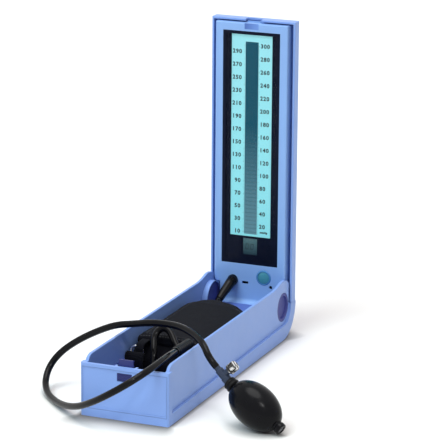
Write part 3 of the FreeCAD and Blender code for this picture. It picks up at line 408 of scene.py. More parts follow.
@dataclass(frozen=True)
class Rubber(Finish):
    """Black rubber with a dry bloom on it."""

    roughness: float = 0.42
    bloom: float = 0.006
    dents: float = 0.00004
    specular: float = 0.3
    patches: float = 45  # cells per metre of the bloom
    smears: float = 110  # the same of the roughness
    pores: float = 900  # the same of the dents

    def lay(self, sheet: Sheet) -> None:
        """Add the finish's nodes.

        Args:
            sheet: the material under construction.
        """
        shader = sheet.principled(self.colour, self.roughness, self.specular)
        patches = sheet.ramp(sheet.noise(self.patches, 5), 0.45, 0.8, 0, 1)
        dusty = tinted(self.colour, 1, self.bloom * 0.35)
        sheet.link(sheet.mix(patches, self.colour, dusty), shader.inputs["Base Color"])
        sheet.roughen(shader, self.smears, 4, 0.3, 0.75, self.roughness - 0.06, self.roughness + 0.12)
        sheet.link(sheet.bump(sheet.noise(self.pores, 3), self.dents, 0.6), shader.inputs["Normal"])


@dataclass(frozen=True)
class Woven(Finish):
    """Closely woven nylon: two crossed sets of fine ribs."""

    pitch: float = 0.00055
    depth: float = 0.00012
    waver: float = 0.3
    creases: float = 60  # cells per metre
    crease_depth: float = 0.0012

    def lay(self, sheet: Sheet) -> None:
        """Add the finish's nodes.

        Args:
            sheet: the material under construction.
        """
        shader = sheet.principled(self.colour, 0.82, 0.06, IOR=1.45, Sheen_Weight=0.05, Sheen_Roughness=0.4)
        weave = sheet.calc("MULTIPLY", *(sheet.bands(self.pitch, axis, self.waver) for axis in "XY"))
        paler = tinted(self.colour, 1.8, 0.003)
        sheet.link(sheet.mix(weave, self.colour, paler), shader.inputs["Base Color"])
        creases = sheet.bump(sheet.noise(self.creases, 4), self.crease_depth, 0.35)
        sheet.link(sheet.bump(weave, self.depth, 0.7, creases), shader.inputs["Normal"])


@dataclass(frozen=True)
class Metal(Finish):
    """Plated or turned metal with painted shade: its colour darkens in corners and, where it is knurled, in
    the valleys between the ridges.
    """

    roughness: float = 0.18
    knurl: float = 0.0  # metres across one ridge
    painted_shade_open: tuple[float, float] = (0.35, 0.95)  # openness at which the painted shade is darkest and at which it ends
    corner: float = 0.0016
    edge: float = 0.0002
    ridge_depth: float = 0.0003
    smears: float = 500  # cells per metre of the roughness
    scratches: float = 2500  # cells per metre of the relief

    def lay(self, sheet: Sheet) -> None:
        """Add the finish's nodes.

        Args:
            sheet: the material under construction.
        """
        shader = sheet.principled(self.colour, self.roughness, Metallic=1.0)
        sheet.roughen(shader, self.smears, 4, 0.3, 0.7, self.roughness * 0.7, self.roughness * 1.5)
        # painted shade: ambient occlusion darkens the colour in corners and hollows
        near = sheet.node("AmbientOcclusion", samples=8, Distance=self.corner)
        painted_shade = sheet.ramp(near.outputs["AO"], *self.painted_shade_open, 0, 1)
        rounded = sheet.soft_edges(self.edge)
        # painted shade: the knurl's valleys are darkened as well as bumped
        if self.knurl:
            crossed = (sheet.bands(self.knurl, turn=(0, angle, angle)) for angle in (0.9, -0.9))
            ridge = sheet.calc("MULTIPLY", *crossed)
            painted_shade = sheet.calc("MULTIPLY", painted_shade, sheet.ramp(ridge, 0.02, 0.3, 0, 1))
            rounded = sheet.bump(ridge, self.ridge_depth, 0.8, rounded)
        sheet.link(sheet.mix(painted_shade, tinted(self.colour, 0.08), self.colour), shader.inputs["Base Color"])
        sheet.link(sheet.bump(sheet.noise(self.scratches, 2), 0.00001, 0.4, rounded), shader.inputs["Normal"])


@dataclass(frozen=True)
class Clear(Finish):
    """Clear acrylic: mostly see-through, with a polished reflection."""

    alpha: float = 0.07

    def lay(self, sheet: Sheet) -> None:
        """Add the finish's nodes to an empty material."""
        shader = sheet.principled(self.colour, 0.06, IOR=1.49, Alpha=self.alpha)
        sheet.roughen(shader, 40, 4, 0.4, 0.8, 0.04, 0.12)


@dataclass(frozen=True)
class Lit(Finish):
    """A backlit surface that glows in one colour low down and another high up, with dark lines if asked."""

    high_colour: Colour
    low_z: float
    high_z: float
    glow: float
    lines: float = 0.0

    def lay(self, sheet: Sheet) -> None:
        """Add the finish's nodes.

        Args:
            sheet: the material under construction.
        """
        shader = sheet.principled(self.colour, 0.3, 0.12, IOR=1.49, Emission_Strength=self.glow)
        along = sheet.ramp(sheet.axes()["Z"], self.low_z, self.high_z, 0, 1)
        colour = sheet.mix(along, self.colour, self.high_colour)
        if self.lines:
            colour = sheet.dim(colour, sheet.ramp(sheet.bands(self.lines, "Z"), 0.0, 0.35, 0.8, 1.0))
        sheet.link(colour, shader.inputs["Base Color"])
        sheet.link(colour, shader.inputs["Emission Color"])


@dataclass(frozen=True)
class Ink(Finish):
    """A flat printed colour."""

    def lay(self, sheet: Sheet) -> None:
        """Add the finish's nodes to an empty material."""
        shader = sheet.principled(self.colour, 0.5)
        sheet.roughen(shader, 900, 3, 0.2, 0.8, 0.42, 0.6)


@dataclass(frozen=True)
class PaintedHollow(Finish):
    """Flat plastic with painted shade for a hollow: its main colour, the shade, lies towards its left side
    and turns to the lit colour on the right.
    """

    lit: Colour
    reach: tuple[float, float] = (-0.007, 0.0079)

    def lay(self, sheet: Sheet) -> None:
        """Add the finish's nodes.

        Args:
            sheet: the material under construction.
        """
        shader = sheet.principled(self.colour, 0.4)
        across = sheet.ramp(sheet.axes()["X"], *self.reach, 0, 1)
        sheet.link(sheet.mix(across, self.colour, self.lit), shader.inputs["Base Color"])
        sheet.link(sheet.bump(sheet.noise(GRAIN, 1), 0.00002, 0.5), shader.inputs["Normal"])


class Slot(Enum):
    """The record's material slots."""

    CASE = "case_blue"
    TRAY = "tray_blue"
    PANEL = "panel_blue"
    LATCH = "latch_violet"
    SCREW = "screw_steel"
    SPRING = "spring_steel"
    CAP = "cap_dark"
    PAD = "pad_rubber"
    WINDOW = "window_clear"
    MASK = "mask_black"
    SCALE = "scale_cyan"
    CELL = "crystal_cell"
    GUIDE = "guide_white"
    BOARD = "board_green"
    BATTERY = "battery_foil"
    KEY = "button_teal"
    BEZEL = "bezel_blue"
    HOSE = "hose_rubber"
    SILICONE = "silicone"
    CLOTH = "cuff_cloth"
    BLADDER = "bladder_rubber"
    CHROME = "ring_chrome"
    SLEEVE = "sleeve_rubber"
    BULB = "bulb_rubber"
    STEEL = "valve_steel"
    VALVE = "valve_grey"


FINISHES: dict[Slot, Finish] = {
    Slot.CASE: Moulded("BodyBlue", linear(131, 162, 224), field=(0.0469, 0.0086, 0.0524, -0.1767)),
    # painted shade: a deeper copy of the case's blue for the tray liner, which lies in shadow
    Slot.TRAY: Moulded("TrayShadedBlue", linear(84, 106, 180), 0.4),
    # paler than the case's blue: partly painted light, which makes up for shade on the lower panel
    Slot.PANEL: Moulded("PanelBlueLightened", linear(137, 173, 228)),
    Slot.LATCH: Moulded("LatchViolet", linear(46, 52, 110), 0.38),
    Slot.SCREW: Metal("ScrewSteel", (0.56, 0.57, 0.60), 0.3),
    Slot.SPRING: Metal("SpringSteel", (0.60, 0.60, 0.60), 0.25),
    # darker than the case's blue: partly painted shade for the hollows of the hinge drums
    Slot.CAP: Moulded("CapDark", linear(64, 70, 140), 0.5),
    Slot.PAD: Rubber("PadRubber", (0.02, 0.02, 0.022), 0.6),
    Slot.WINDOW: Clear("WindowClear", (0.01, 0.014, 0.02)),
    Slot.MASK: Moulded("MaskBlack", linear(8, 15, 36), 0.45, specular=0.1),
    Slot.SCALE: Lit("ScaleCyan", linear(130, 207, 216), linear(144, 209, 218), 0.11, 0.337, 0.47),
    Slot.CELL: Lit("CrystalCell", linear(96, 140, 154), linear(16, 78, 98), 0.104, 0.235, 0.24, 0.0022),
    Slot.GUIDE: Ink("GuideWhite", (0.8, 0.88, 0.88)),
    Slot.BOARD: Moulded("BoardGreen", (0.02, 0.14, 0.06), 0.45),
    Slot.BATTERY: Metal("BatteryFoil", (0.5, 0.52, 0.56), 0.35),
    Slot.KEY: Moulded("KeyTeal", linear(72, 144, 164), 0.3),
    Slot.BEZEL: Moulded("BezelBlue", linear(78, 136, 192), 0.3),
    Slot.HOSE: Rubber("HoseRubber", (0.002, 0.0019, 0.0028), 0.13, specular=0.15),
    Slot.SILICONE: Rubber("Silicone", (0.6, 0.6, 0.57), 0.3, 0.0),
    Slot.CLOTH: Woven("CuffCloth", (0.0045, 0.0045, 0.0068)),
    Slot.BLADDER: Rubber("BladderRubber", (0.01, 0.01, 0.011), 0.5),
    Slot.CHROME: Metal("Chrome", (0.92, 0.92, 0.93), 0.3, painted_shade_open=(0.0, 0.3)),
    Slot.SLEEVE: Rubber("SleeveRubber", (0.0042, 0.0042, 0.005), 0.42, specular=0.2),
    Slot.BULB: Rubber("BulbRubber", (0.002, 0.002, 0.0032), 0.2, specular=0.12),
    Slot.STEEL: Metal("ValveSteel", (0.22, 0.22, 0.24), 0.4),
    Slot.VALVE: Moulded("ValveGrey", linear(42, 52, 72), 0.35),
}

OWN_FINISHES: dict[str, Finish] = {
    "readout_display": Lit("ReadoutCell", linear(36, 58, 70), linear(86, 122, 128), 0.088, 0.106, 0.14),
    "valve_knob": Metal("KnurledChrome", (0.78, 0.78, 0.79), 0.12, 0.0019),
}


class Bench:
    """The CAD nodes and the built finishes, and the place where a finished piece joins the model."""

    def __init__(self, frame: dict) -> None:
        """Dress every CAD node.

        Args:
            frame: the record and the nodes, as loaded.
        """
        self.nodes: dict[str, Piece] = frame["nodes"]
        self._made: dict[Slot, Material] = {}
        slots = {part["node"]: part["material_slot"] for part in frame["record"]["subparts"]}
        for name, node in self.nodes.items():
            self.dress(node, Slot(slots[name]))
        for name, finish in OWN_FINISHES.items():
            self.nodes[name].data.materials[0] = finish.build()

    def dress(self, piece: Piece, slot: Slot, material: Material | None = None) -> None:
        """Give a piece the slot's finish, which is built once, or a material of its own.

        Args:
            piece: the object.
            slot: the record's slot.
            material: what it wears instead of the slot's finish.
        """
        if material is None and slot not in self._made:
            self._made[slot] = FINISHES[slot].build()
        piece.data.materials.clear()
        piece.data.materials.append(material or self._made[slot])

    def enter(self, piece: Piece, slot: Slot, body: str = "base",
              material: Material | None = None) -> Piece:
        """Dress a piece and let it ride on a body.

        Args:
            piece: the object.
            slot: the record's slot.
            body: the body that it moves with.
            material: what it wears instead of the slot's finish.

        Returns:
            The same object.
        """
        self.dress(piece, slot, material)
        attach(piece, body)
        return piece


# ------------------------------------------------------------------ surfaces


def add_object(name: str, data: bpy.types.ID) -> Piece:
    """Put an object with the given data into the scene, at the origin.

    Args:
        name: the object's name.
        data: its mesh, curve, camera or light.

    Returns:
        The new object.
    """
    made = bpy.data.objects.new(name, data)
    bpy.context.scene.collection.objects.link(made)
    return made


def mesh_piece(name: str, points: np.ndarray, faces: np.ndarray | list[list[int]],
               smooth: bool = True) -> Piece:
    """A mesh object at the origin.

    Args:
        name: the piece's name.
        points: vertices, (n, 3), in metres.
        faces: corner indices of each face.
        smooth: whether faces are shaded smooth.

    Returns:
        The new object.
    """
    mesh = bpy.data.meshes.new(name)
    mesh.from_pydata(points.tolist(), [], faces.tolist() if isinstance(faces, np.ndarray) else faces)
    mesh.polygons.foreach_set("use_smooth", np.full(len(mesh.polygons), smooth))
    mesh.update()
    return add_object(name, mesh)


def grid_quads(rows: int, columns: int, closed: bool = False) -> np.ndarray:
    """Corner indices of a grid of points.

    Args:
        rows: number of rows.
        columns: number of columns.
        closed: whether the last column joins the first.

    Returns:
        Quads as an (m, 4) array.
    """
    row, column = (a.ravel() for a in np.mgrid[:rows - 1, :columns if closed else columns - 1])
    near, far = row * columns, (row + 1) * columns
    right = (column + 1) % columns
    return np.stack([near + column, near + right, far + right, far + column], 1)


def coordinates(mesh: bpy.types.Mesh) -> np.ndarray:
    """The points of a mesh.

    Args:
        mesh: the mesh.

    Returns:
        An (n, 3) array.
    """
    flat = np.zeros(len(mesh.vertices) * 3)
    mesh.vertices.foreach_get("co", flat)
    return flat.reshape(-1, 3)


def lathe(name: str, profile: np.ndarray, foot: Point, axis: Point, segments: int = 96) -> Piece:
    """A turned surface: each profile point swings round the axis in a full circle.

    Args:
        name: the piece's name.
        profile: radius and height pairs, (n, 2), in metres.
        foot: where height 0 is.
        axis: direction of the height.
        segments: steps round the circle.

    Returns:
        The new object.
    """
    turn = np.linspace(0, 2 * math.pi, segments, endpoint=False)
    ring = np.stack([np.cos(turn), np.sin(turn)], 1)
    flat = profile[:, None, :1] * ring[None]
    height = np.broadcast_to(profile[:, None, 1:], (*flat.shape[:2], 1))
    local = np.concatenate([flat, height], 2).reshape(-1, 3)
    basis = np.array(Vector(axis).to_track_quat("Z", "Y").to_matrix())
    return mesh_piece(name, local @ basis.T + np.array(foot), grid_quads(len(profile), segments, True))


def smooth_profile(points: Outline | list[tuple[float, float]], per_span: int) -> np.ndarray:
    """A Catmull-Rom curve through profile points: on each span, a cubic blend of the four nearest points.

    Args:
        points: radius and height pairs.
        per_span: samples on each span.

    Returns:
        The sampled profile, (n, 2), with no radius below 0.
    """
    p = np.array(points)
    padded = np.vstack([2 * p[0] - p[1], p, 2 * p[-1] - p[-2]])
    t = np.linspace(0, 1, per_span, endpoint=False)[None, :, None]
    a, b, c, d = (padded[k:len(p) - 1 + k][:, None] for k in range(4))
    curve = 0.5 * (2 * b + (c - a) * t + (2 * a - 5 * b + 4 * c - d) * t**2 + (3 * b - a - 3 * c + d) * t**3)
    sampled = np.vstack([curve.reshape(-1, 2), p[-1:]])
    sampled[:, 0] = np.maximum(sampled[:, 0], 0)
    return sampled


def run_of(line: np.ndarray) -> np.ndarray:
    """The distance along a line from its start to each of its points."""
    return np.concatenate([[0], np.cumsum(np.linalg.norm(np.diff(line, axis=0), axis=1))])


def points_at(line: np.ndarray, distances: np.ndarray) -> np.ndarray:
    """The points at given distances along a line, by straight interpolation between its points."""
    run = run_of(line)
    return np.column_stack([np.interp(distances, run, axis) for axis in line.T])


def tube_along(name: str, path: np.ndarray, radii: np.ndarray, segments: int = 28) -> Piece:
    """A tube of changing thickness: a circle square to a line at each of its points, and both ends closed.

    Args:
        name: the piece's name.
        path: centreline points, (n, 3), in metres.
        radii: the radius at each point, in metres.
        segments: steps round the tube.

    Returns:
        The new object.
    """
    ahead = np.gradient(path, axis=0)
    ahead /= np.linalg.norm(ahead, axis=1)[:, None]
    side = np.cross(ahead, (1, 0, 0))
    side /= np.linalg.norm(side, axis=1)[:, None]
    over = np.cross(ahead, side)
    turn = np.linspace(0, 2 * math.pi, segments, endpoint=False)
    ring = np.cos(turn)[None, :, None] * side[:, None] + np.sin(turn)[None, :, None] * over[:, None]
    points = path[:, None] + ring * radii[:, None, None]
    first, last = (np.repeat(end[:, None], segments, 1) for end in (path[:1], path[-1:]))
    closed = np.concatenate([first, points, last])
    return mesh_piece(name, closed.reshape(-1, 3), grid_quads(len(closed), segments, True))


def slab(name: str, outline: np.ndarray, low: float, high: float) -> Piece:
    """A closed block between two heights over an outline seen from above.

    Args:
        name: the piece's name.
        outline: corner points, (n, 2), in metres, anticlockwise.
        low: height of its underside.
        high: height of its top.

    Returns:
        The new object.
    """
    count = len(outline)
    points = np.vstack([np.column_stack([outline, np.full(count, z)]) for z in (low, high)])
    ends = [list(range(count - 1, -1, -1)), list(range(count, 2 * count))]
    return mesh_piece(name, points, grid_quads(2, count, True).tolist() + ends, False)


def flat_cards(name: str, corners: np.ndarray) -> Piece:
    """Separate four-cornered cards, whose corners follow each other in an (n, 3) array."""
    return mesh_piece(name, corners, np.arange(len(corners)).reshape(-1, 4), False)


def join(name: str, objects: list[Piece]) -> Piece:
    """Turn objects into one mesh at the origin.

    Args:
        name: the piece's name.
        objects: what to join; they are removed.

    Returns:
        The new object.
    """
    bpy.context.view_layer.update()
    graph = bpy.context.evaluated_depsgraph_get()
    points, faces, start = [], [], 0
    for item in objects:
        evaluated = item.evaluated_get(graph)
        mesh = evaluated.to_mesh()
        world = np.array(item.matrix_world)
        points.append(coordinates(mesh) @ world[:3, :3].T + world[:3, 3])
        faces += [[start + corner for corner in face.vertices] for face in mesh.polygons]
        start += len(mesh.vertices)
        evaluated.to_mesh_clear()
    for item in objects:
        bpy.data.objects.remove(item)
    return mesh_piece(name, np.vstack(points), faces, False)


def settle(piece: Piece) -> Piece:
    """Make a piece's modifiers part of its mesh.

    Args:
        piece: the object.

    Returns:
        The same object without modifiers.
    """
    bpy.context.view_layer.update()
    mesh = bpy.data.meshes.new_from_object(piece.evaluated_get(bpy.context.evaluated_depsgraph_get()))
    piece.modifiers.clear()
    piece.data = mesh
    mesh.polygons.foreach_set("use_smooth", np.full(len(mesh.polygons), True))
    mesh.update()
    return piece


def smoother(piece: Piece) -> None:
    """Round a piece with one level of subdivision."""
    soft = piece.modifiers.new("Soft", "SUBSURF")
    soft.levels = soft.render_levels = 1


# ------------------------------------------------------------------ hoses


@dataclass(frozen=True)
class Hose:
    """A rubber hose as a free cord. Millimetres."""

    name: str
    route: tuple[Point, ...]
    diameter: float = 7.2

    def curve(self, bevelled: bool) -> Piece:
        """The hose as a quadratic spline through its control points' polygon.

        Args:
            bevelled: whether it has its thickness.

        Returns:
            A curve object at the origin.
        """
        data = bpy.data.curves.new(self.name, "CURVE")
        data.dimensions = "3D"
        data.resolution_u = 12
        spline = data.splines.new("NURBS")
        spline.points.add(len(self.route) - 1)
        flat = np.concatenate([np.array(self.route) * MM, np.ones((len(self.route), 1))], 1)
        spline.points.foreach_set("co", flat.ravel())
        spline.order_u = 3
        spline.use_endpoint_u = True
        if bevelled:
            data.bevel_depth = self.diameter / 2 * MM
            data.bevel_resolution = 8
            data.use_fill_caps = True
        return add_object(self.name, data)

    def as_mesh(self, bevelled: bool) -> Piece:
        """The hose as a mesh.

        Args:
            bevelled: whether it has its thickness; without it the mesh is the centreline.

        Returns:
            A mesh object at the origin.
        """
        curve = self.curve(bevelled)
        bpy.context.view_layer.update()
        mesh = bpy.data.meshes.new_from_object(curve.evaluated_get(bpy.context.evaluated_depsgraph_get()))
        bpy.data.objects.remove(curve)
        return add_object(self.name, mesh)

    def centreline(self) -> np.ndarray:
        """Points along the middle of the hose.

        Returns:
            An (n, 3) array in metres.
        """
        line = self.as_mesh(False)
        points = coordinates(line.data)
        bpy.data.objects.remove(line)
        return points


BULB_HOSE = Hose("bulb_hose_tube", (
    (31.4, -121, 61), (34.4, -140.5, 64), (35.6, -160.5, 64.8), (34, -184, 63),
    (28, -204.5, 58.5), (15.5, -215.5, 50), (-1.5, -216.5, 39), (-21, -209.5, 27), (-42.5, -196.5, 15.5),
    (-64.5, -179.5, 8), (-85.5, -160, 4), (-104, -141, 4), (-116, -122.5, 10), (-118.5, -107, 21.5),
    (-110.5, -98, 35), (-93, -95.5, 49), (-69.5, -97.5, 63), (-45, -100.5, 74.5), (-27, -98, 77),
    (-10, -94.5, 79.5), (9, -95, 81), (29, -102, 82.5), (49.5, -114.5, 80.5), (66.5, -129.5, 76.5),
    (76.4, -139.3, 65.8), (84.72, -139, 57.17),
))

GAUGE_HOSE = Hose("gauge_hose_tube", (
    (-20.41, 150.66, 54.83), (-22.2, 141.8, 49.15), (-23.8, 132.5, 43.5), (-24.5, 123, 38.5),
    (-24.3, 113.5, 33.5), (-23.5, 105.5, 25.5), (-22.5, 101, 15.5), (-21, 92.5, 8.9), (-20, 78, 8.5),
    (-20.5, 50, 8.5), (-20, 5, 8.5), (-20.5, -35, 8.5), (-19.5, -60, 8.6), (-17, -72, 9.2),
    (-12.5, -82.5, 14), (-10, -86, 25), (-9.5, -82, 37), (-12.5, -75.5, 45.5), (-16, -67.5, 53),
    (-15.3, -61.5, 59.8), (-10, -58, 63.6), (-3.5, -58.5, 62.8), (2.5, -62, 58.3), (7.2, -66.8, 52.8),
    (12.2, -70.6, 48),
))


@dataclass(frozen=True)
class Assembly:
    """A group of pieces that is made and dressed together."""

    bench: Bench

    def build(self) -> list[Piece]:
        """Make the pieces."""
        raise NotImplementedError


@dataclass(frozen=True)
class Hoses(Assembly):
    """The bulb's hose, and the gauge's hose with the thick moulded boot where it enters the panel. Metres.

    The fields bend_start and bend_end hold two points near the elbow.
    """

    bend_start: Point = (-0.0235, 0.112, 0.034)
    bend_end: Point = (-0.0206, 0.150, 0.0545)
    mouth: tuple[Point, ...] = ((-0.0193, 0.1584, 0.0582), (-0.0196, 0.156, 0.0571), (-0.02, 0.1533, 0.0559))
    mouth_radii: tuple[float, ...] = (0.0062, 0.0061, 0.0058)
    boot_marks: tuple[float, ...] = (0, 0.012, 0.022, 0.026)
    boot_radii: tuple[float, ...] = (0.0056, 0.0051, 0.0044, 0.0039)
    boot_steps: int = 16

    def bending(self, piece: Piece) -> Piece:
        """Dress a rubber piece and bake its placement into its mesh.

        Args:
            piece: the object.

        Returns:
            The same object.
        """
        self.bench.dress(piece, Slot.HOSE)
        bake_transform(piece)
        return piece

    def build(self) -> list[Piece]:
        """Lay both hoses and slip the boot over the second.

        Returns:
            The new pieces.
        """
        tube = BULB_HOSE.curve(True)
        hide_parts("bulb_hose")
        self.bench.enter(tube, Slot.HOSE)
        line = BULB_HOSE.centreline()
        path = GAUGE_HOSE.centreline()
        hose = GAUGE_HOSE.as_mesh(True)
        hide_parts("gauge_hose")
        self.bending(hose)
        along = np.linspace(0, self.boot_marks[-1], self.boot_steps)
        radii = np.concatenate([self.mouth_radii, np.interp(along, self.boot_marks, self.boot_radii)])
        boot = tube_along("elbow_boot", np.vstack([self.mouth, points_at(path, along)]), radii)
        return [tube, hose, self.bending(boot)]


# ------------------------------------------------------------------ panel


@dataclass(frozen=True)
class PanelTrim(Assembly):
    """The black border on the window and a flat plate with painted shade for the hollow where the latch takes
    hold. Metres.
    """

    border: float = 0.0036
    margin: float = 0.00008
    gap: float = 0.00006
    # where the flat plate with painted shade for the latch's hollow lies
    hollow_half: float = 0.0082
    hollow_low: float = 0.3436
    hollow_high: float = 0.35015
    hollow_face: float = 0.15842

    def window_border(self) -> Piece:
        """The border printed round the window's outer face: the strip between two rectangles.

        Returns:
            The new piece.
        """
        low, high = (np.array(corner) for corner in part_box("window_lens"))
        outer = np.array([(low[0], low[2]), (high[0], low[2]), (high[0], high[2]), (low[0], high[2])])
        inward = np.array([(1, 1), (-1, 1), (-1, -1), (1, -1)])
        rings = np.vstack([outer + inward * self.margin, outer + inward * self.border])
        points = np.column_stack([rings[:, 0], np.full(len(rings), low[1] - self.gap), rings[:, 1]])
        piece = mesh_piece("window_border", points, grid_quads(2, 4, True)[:, ::-1], False)
        return self.bench.enter(piece, Slot.MASK, "lid")

    def catch(self) -> Piece:
        """Painted shade for the hollow at the middle of the panel's top edge: a flat grid whose finish is
        painted darker towards its left side.

        Returns:
            The new piece.
        """
        across, up = np.meshgrid(np.linspace(-1, 1, 17), np.linspace(0, 1, 9))
        height = self.hollow_low + up * (self.hollow_high - self.hollow_low)
        points = np.stack([across * self.hollow_half, np.full_like(across, self.hollow_face), height], 2)
        piece = mesh_piece("catch_painted_hollow", points.reshape(-1, 3), grid_quads(*across.shape))
        painted_hollow_finish = PaintedHollow("CatchPaintedShade", linear(72, 106, 178), linear(104, 142, 214))
        return self.bench.enter(piece, Slot.PANEL, "lid", painted_hollow_finish.build())

    def build(self) -> list[Piece]:
        """Make the border and the hollow."""
        return [self.window_border(), self.catch()]


# ------------------------------------------------------------------ bulb


@dataclass(frozen=True)
class Bulb(Assembly):
    """The pear-shaped hand bulb, the rings on its neck and the rubber cup at its tail. Millimetres.

    The outlines are pairs of radius and height, counted from where the pear's own curve ends.
    """

    centre: Point = (130.4, -147.2, 24.6)
    axis: Point = (-0.8487, 0.2434, 0.4695)
    length: float = 63.5
    diameter: float = 43.3
    neck_radius: float = 6.2
    tail_radius: float = 5
    neck: Outline = ((6.3, 1.5), (6.6, 3), (6.2, 4), (4, 4))
    tail: Outline = ((0, -2), (4.6, -2), (5, -1.4))
    rings: Outline = ((5.4, 0.2), (7.1, 0.8), (7.6, 2.2), (7.1, 3.7), (6.3, 4.2), (6.9, 4.8), (7.2, 6.3),
                      (6.7, 7.7), (5.6, 8.3), (3, 8.4))
    cup: Outline = ((3.4, -6.2), (4.3, -6.9), (5.8, -6.7), (6.3, -5.4), (6.2, -2.4), (5.6, -1.2), (6.1, -0.2),
                    (6, 0.9), (4.5, 1))

    def turned(self, name: str, profile: np.ndarray, segments: int = 96) -> Piece:
        """A piece turned round the bulb's axis, from a profile in millimetres."""
        return lathe(name, profile * MM, tuple(np.array(self.centre) * MM), self.axis, segments)

    def build(self) -> list[Piece]:
        """Make the skin, an ellipse of revolution that runs out into the neck, and the rubber at its ends.

        Returns:
            The new pieces.
        """
        radius = self.diameter / 2
        angle = np.linspace(-math.acos(self.tail_radius / radius), math.acos(self.neck_radius / radius), 90)
        body = np.stack([radius * np.cos(angle), self.length / 2 * np.sin(angle)], 1)

        def from_level(outline: Outline, level: float) -> list[tuple[float, float]]:
            """An outline with its heights counted from a level."""
            return [(wide, level + height) for wide, height in outline]

        foot, top = body[[0, -1], 1]
        neck = smooth_profile([tuple(body[-1]), *from_level(self.neck, top)], 5)[1:]
        tail = smooth_profile([*from_level(self.tail, foot), tuple(body[0])], 4)[:-1]
        skin = self.turned("bulb_skin", np.vstack([tail, body, neck]), 128)
        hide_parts("bulb")
        collar = self.turned("neck_rings", smooth_profile(from_level(self.rings, top), 5))
        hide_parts("neck_collar")
        boot = self.turned("intake_cup", smooth_profile(from_level(self.cup, foot), 5))
        slots = ((skin, Slot.BULB), (collar, Slot.SLEEVE), (boot, Slot.BULB))
        return [self.bench.enter(piece, slot) for piece, slot in slots]


# ------------------------------------------------------------------ cuff


@dataclass(frozen=True)
class Stuffing:
    """Swells a block into padded cloth by a short simulation under pressure. Metres."""

    voxel: float
    cap: float
    reach: tuple[Point, Point]
    pressure: float = 4.0
    frames: int = 20

    def swell(self, piece: Piece) -> Piece:
        """Remesh, inflate and smooth a block; the cloth moves no further than the cap, and within the reach.

        Args:
            piece: the block.

        Returns:
            The same object, swollen.
        """
        remesh = piece.modifiers.new("Remesh", "REMESH")
        remesh.mode = "VOXEL"
        remesh.voxel_size = self.voxel
        settle(piece)
        start = coordinates(piece.data)
        cloth = piece.modifiers.new("Cloth", "CLOTH")
        cloth.settings.use_pressure = True
        cloth.settings.uniform_pressure_force = self.pressure
        cloth.settings.effector_weights.gravity = 0
        scene = bpy.context.scene
        for frame in range(1, self.frames + 1):
            scene.frame_set(frame)
        moved = coordinates(piece.evaluated_get(bpy.context.evaluated_depsgraph_get()).data) - start
        piece.modifiers.clear()
        scene.frame_set(1)
        way = np.linalg.norm(moved, axis=1)[:, None]
        moved *= np.minimum(1, self.cap / np.maximum(way, 1e-9))
        piece.data.vertices.foreach_set("co", np.clip(start + moved, *self.reach).ravel())
        smoother(piece)
        return settle(piece)


